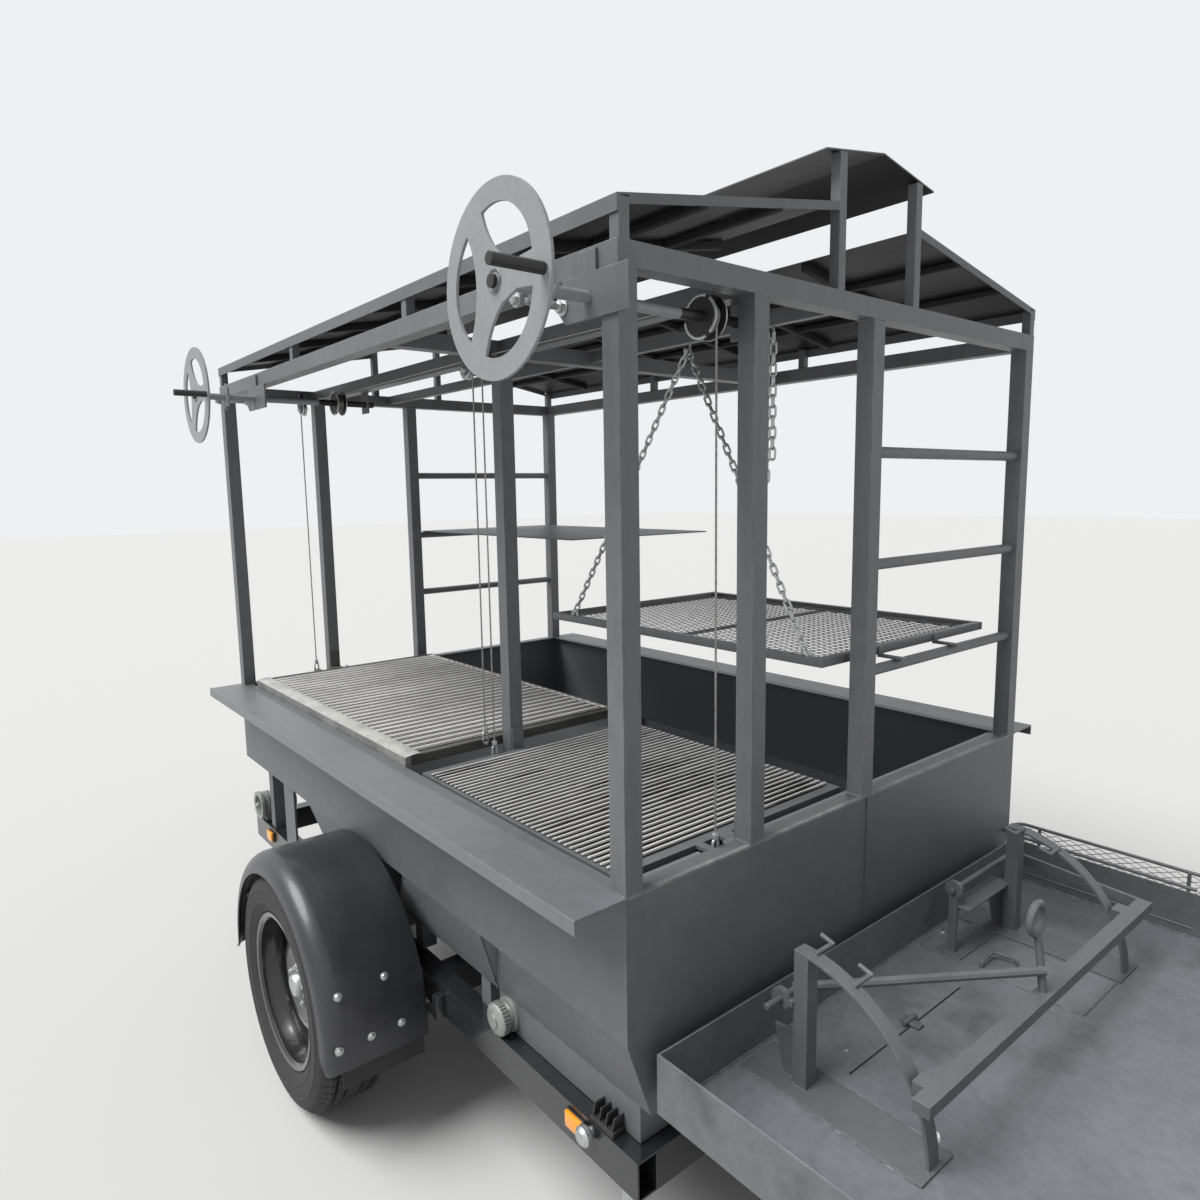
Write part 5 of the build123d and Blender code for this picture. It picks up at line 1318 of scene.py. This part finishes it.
def guard(name, side):
    """Half round shell with its flat ends, the rubber strip, and the straps and bolts that hold it."""
    shell = Shape()
    rings = []
    for step in range(GUARD_STEPS + 1):
        angle = math.radians(180 / GUARD_STEPS * step)
        rings.append([(AXLE.x + r * math.cos(angle), y, AXLE.z + r * math.sin(angle))
                      for r, y in guard_section(side)])
    for down, turn in GUARD_ENDS:
        rings.append([(AXLE.x - r, y, AXLE.z - down) for r, y in guard_section(side, turn)])
    for down, turn in GUARD_ENDS[:3]:
        rings.insert(0, [(AXLE.x + r, y, AXLE.z - down * FRONT_SHORTER)
                         for r, y in guard_section(side, turn * FRONT_FLATTER)])
    shell.skin(rings)
    shell.made(f"guard_shell_{name}", guard_plastic, slot="guard_plastic", stands_for=[f"mudguard_{name}"],
               angle=50)
    strip = Shape()
    x = AXLE.x - GUARD_R + GUARD_SHEET
    strip.box((x + 0.0005, x + 0.0045), span(side, GUARD_IN + 0.012, GUARD_OUT - 0.036),
              (RUBBER_FOOT, AXLE.z + 0.012))
    strip.made(f"guard_rubber_{name}", rubber, slot="tyre_rubber", soft=0.001)
    bolts = Shape()
    straps = Shape()
    low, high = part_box(f"guard_bracket_{name}")
    inner = min(abs(low.y), abs(high.y))
    for end in (-1, 1):
        for y, z in GUARD_BOLTS:
            rise = z - AXLE.z
            out = Vector((end * math.sqrt(GUARD_R ** 2 - rise ** 2), 0, rise))
            face = Vector((AXLE.x, side * y, AXLE.z)) + out
            aim = out.normalized()
            bolts.rod(face - aim * 0.010, face + aim * 0.0016, 0.0098, 20)
            bolts.rod(face + aim * 0.0015, face + aim * 0.0050, 0.0078, 20, 0.0045)
        inside = AXLE.x + end * (GUARD_R - GUARD_SHEET - 0.0045)
        post = sorted((AXLE.x + end * (GUARD_R + 0.004), AXLE.x + end * (GUARD_R + 0.026)))
        straps.box(post, span(side, inner, inner + 0.024), (low.z, high.z))
        straps.box(sorted((inside - end * 0.005, post[0] if end > 0 else post[1])),
                   span(side, inner + 0.004, inner + 0.022), (low.z, low.z + 0.030))
        straps.box(sorted((inside, inside - end * 0.005)), span(side, inner + 0.004, 0.980),
                   (low.z, low.z + 0.030))
    bolts.made(f"guard_bolts_{name}", zinc, slot="zinc", angle=40)
    straps.made(f"guard_straps_{name}", gloss_black, slot="chassis_paint", soft=0.0008,
                stands_for=[f"guard_bracket_{name}"])


for name, side in WHEELS.items():
    guard(name, side)

# Fire tray and spit stands. A scuffed shallow tray hangs behind the box; two arc stands of flat bar
# carry the tilting frame, and the tray has a seam with a latch, a bent handle and a mesh side basket.
def tray_grime_and_wall_shade(place, facing, cloud):
    """Dark grime patches everywhere, and painted shade on the upright faces."""
    up = facing.split()[2]
    return (cloud.step(0.55, 0.72, 0.0, 0.7) + (0.6 - up).step(0.0, 0.2) * 0.35).step(0, 1)


# The stain is grime in patches and painted shade on the tray's upright faces.
tray_paint = finish("tray_paint", (0.130, 0.136, 0.151), (0.205, 0.211, 0.229), scale=3.5,
                    rough=(0.42, 0.62), worn=RUBBED, wear=0.7, grain=(240, 0.2),
                    stain=(0.045, 0.045, 0.048), stain_where=tray_grime_and_wall_shade)
white_plastic = finish("white_plastic", (0.70, 0.72, 0.74), (0.80, 0.81, 0.82), scale=40, rough=(0.3, 0.45))
coat(tray_paint, "fire_tray")
coat(post_paint, "arc_stand_left", "arc_stand_right", "spit_frame")
TRAY_LOW, TRAY_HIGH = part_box("fire_tray")
TRAY_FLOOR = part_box("arc_stand_left")[0].z
SEAM_X = (REAR - 0.200, REAR - 0.1965)
SEAM_Y = (LEFT - 0.795, LEFT - 0.378)
LATCH_Y = LEFT - 0.600
TRAY_BOLTS = (      # back from the box, across from its left side
    (0.154, 0.430), (0.057, 0.980), (0.312, 0.711), (0.322, 0.820), (0.320, 0.578), (0.070, 0.709))
WHITE_CAP = (REAR - 0.3785, LEFT - 0.355)
BASKET_NET = (0.036, 0.015)     # pitch along, gap across


def tray_fittings():
    """Dark seam across the floor with its latch, bolt heads, the white cap, the handle and the welds."""
    z = TRAY_FLOOR
    seam = Shape()
    seam.box(SEAM_X, SEAM_Y, (z - 0.0005, z + 0.0006))
    seam.made("tray_seam", soot_and_shade_black)
    latch = Shape()
    x = SEAM_X[1]
    latch.box((x - 0.020, x + 0.022), (LATCH_Y - 0.010, LATCH_Y + 0.010), (z + 0.0005, z + 0.006))
    latch.rod((x + 0.006, LATCH_Y - 0.022, z + 0.008), (x + 0.006, LATCH_Y + 0.022, z + 0.008), 0.005, 12)
    latch.made("tray_latch", post_paint, soft=0.0008)
    bolts = Shape()
    for back, across in TRAY_BOLTS:
        x, y = REAR - back, LEFT - across
        bolts.rod((x, y, z - 0.001), (x, y, z + 0.003), 0.007, 16, 0.0055)
    bolts.made("tray_bolts", zinc, slot="zinc", soft=0.0006)
    cap = Shape()
    cap.rod((*WHITE_CAP, z - 0.001), (*WHITE_CAP, z + 0.006), 0.0125, 28, 0.0095)
    cap.made("tray_cap", white_plastic, slot="charcoal_paint", soft=0.0008)
    handle = [(REAR - 0.192, LEFT - 0.904, z - 0.001), (REAR - 0.192, LEFT - 0.904, z + 0.016),
              (REAR - 0.192, LEFT - 0.960, z + 0.016), (REAR - 0.242, LEFT - 0.969, z + 0.016),
              (REAR - 0.242, LEFT - 0.969, z - 0.001)]
    grown("tray_handle", wire_tree, wires([handle]), post_paint, Radius=0.004, Bend=0.010)
    low, high = TRAY_LOW, TRAY_HIGH
    beads = []
    for y in (low.y + 0.005, high.y - 0.005):
        beads.append([(low.x + 0.006, y, z + 0.001), (high.x - 0.006, y, z + 0.001)])
    for x in (low.x + 0.005, high.x - 0.005):
        beads.append([(x, low.y + 0.006, z + 0.001), (x, high.y - 0.006, z + 0.001)])
    for stand in ("arc_stand_left", "arc_stand_right"):
        foot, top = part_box(stand)
        beads.append(square_path((foot.x + 0.008, top.x), (foot.y, top.y), z + BEAD_OFF))
    grown("tray_welds", bead_tree, wires(beads), tray_paint, Radius=0.0024)


def side_basket():
    """Round bar frame with diamond mesh on its floor and outer side, on the tray's right."""
    x = (TRAY_HIGH.x - 0.450, TRAY_HIGH.x + 0.030)
    y = (TRAY_LOW.y - 0.095, TRAY_LOW.y + 0.001)
    top, foot = TRAY_HIGH.z + 0.010, TRAY_FLOOR + 0.022
    paths = []
    for z in (top, foot):
        paths.append([(x[0], y[1], z), (x[0], y[0], z), (x[1], y[0], z), (x[1], y[1], z),
                      (x[0] + 0.020, y[1], z)])
    for across in (x[0] + 0.060, x[1] - 0.060):
        paths.append([(across, y[0] + 0.001, top), (across, y[0] + 0.001, foot), (across, y[1], foot)])
    grown("side_basket", wire_tree, wires(paths), post_paint, Radius=0.0045, Bend=0.025)
    pitch, gap = BASKET_NET
    flat = Matrix.Translation((x[0] + 0.015, y[0] + 0.006, foot))
    upright = Matrix.Translation((x[0] + 0.015, y[0], foot)) @ Matrix.Rotation(math.radians(90), 4, "X")
    for name, deep, place in (("floor", y[1] - y[0] - 0.012, flat), ("wall", top - foot, upright)):
        net = grown(f"side_basket_{name}", diamonds, blank_start(), mesh_steel, Length=x[1] - x[0] - 0.030,
                    Pitch=pitch, Gap=gap, Rows=int(deep / gap), Origin=(0.0, 0.0, 0.0), Radius=0.0012)
        net.data.transform(place)


tray_fittings()
side_basket()

# Drain cap and air inlet. A cast drain with a knurled cap on the rear ash box, and the ribbed mouth
# of the air pipe with its lever on the left rail.
cast_grey = finish("cast_grey", (0.26, 0.275, 0.26), (0.36, 0.37, 0.355), scale=26, rough=(0.40, 0.60),
                   metallic=0.5, grain=(300, 0.2), worn=(0.6, 0.6, 0.6), wear=0.5)
KNURLS = 28
INLET_WALL = 0.0148


def drain():
    """Flange, waisted neck and knurled cap."""
    low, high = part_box("drain_cap")
    centre = Vector(((low.x + high.x) / 2, 0, (low.z + high.z) / 2))
    radius = (high.z - low.z) / 2
    y = low.y
    body = Shape()
    body.turned([(0.002, y), (radius, y), (radius, y + 0.006), (radius * 0.72, y + 0.009),
                 (radius * 0.66, y + 0.015), (radius * 0.74, y + 0.018), (radius * 0.90, y + 0.020),
                 (radius * 0.93, y + 0.036), (radius * 0.80, y + 0.041), (radius * 0.42, y + 0.043),
                 (radius * 0.40, y + 0.047), (0.002, y + 0.048)], centre, 64)
    body.made("drain_body", cast_grey, slot="zinc", stands_for=["drain_cap"], angle=40)
    rib = Shape()
    rib.box((-0.0022, 0.0022), (y + 0.0205, y + 0.0355), (radius * 0.90, radius * 0.98))
    grown("drain_knurl", around, rib.data(), cast_grey, slot="zinc", Count=KNURLS,
          Centre=tuple(centre))


def inlet():
    """Ribs inside the pipe's mouth, the shut flap between them, and its lever."""
    low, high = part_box("air_inlet")
    radius = (high.x - low.x) / 2
    centre = Vector(((low.x + high.x) / 2, 0, high.z - radius))
    y = high.y
    mouth = Shape()
    for back in (0.018, 0.030, 0.042):
        mouth.turned([(radius - 0.011, y - back), (radius - 0.004, y - back),
                      (radius - 0.003, y - back + 0.004), (radius - 0.011, y - back + 0.006)], centre, 48)
    bore = radius - INLET_WALL
    mouth.turned([(0.002, y - 0.030), (bore, y - 0.030), (bore, y - 0.026), (0.010, y - 0.022),
                  (0.002, y - 0.022)], centre, 48)
    mouth.made("inlet_mouth", cast_grey, slot="zinc", angle=40)
    lever = [(centre.x, y - 0.024, centre.z), (centre.x, y + 0.010, centre.z),
             (centre.x - 0.055, y + 0.012, centre.z + 0.030)]
    grown("inlet_lever", wire_tree, wires([lever]), zinc, slot="zinc", Radius=0.0045, Bend=0.010)


coat(cast_grey, "air_inlet")
drain()
inlet()
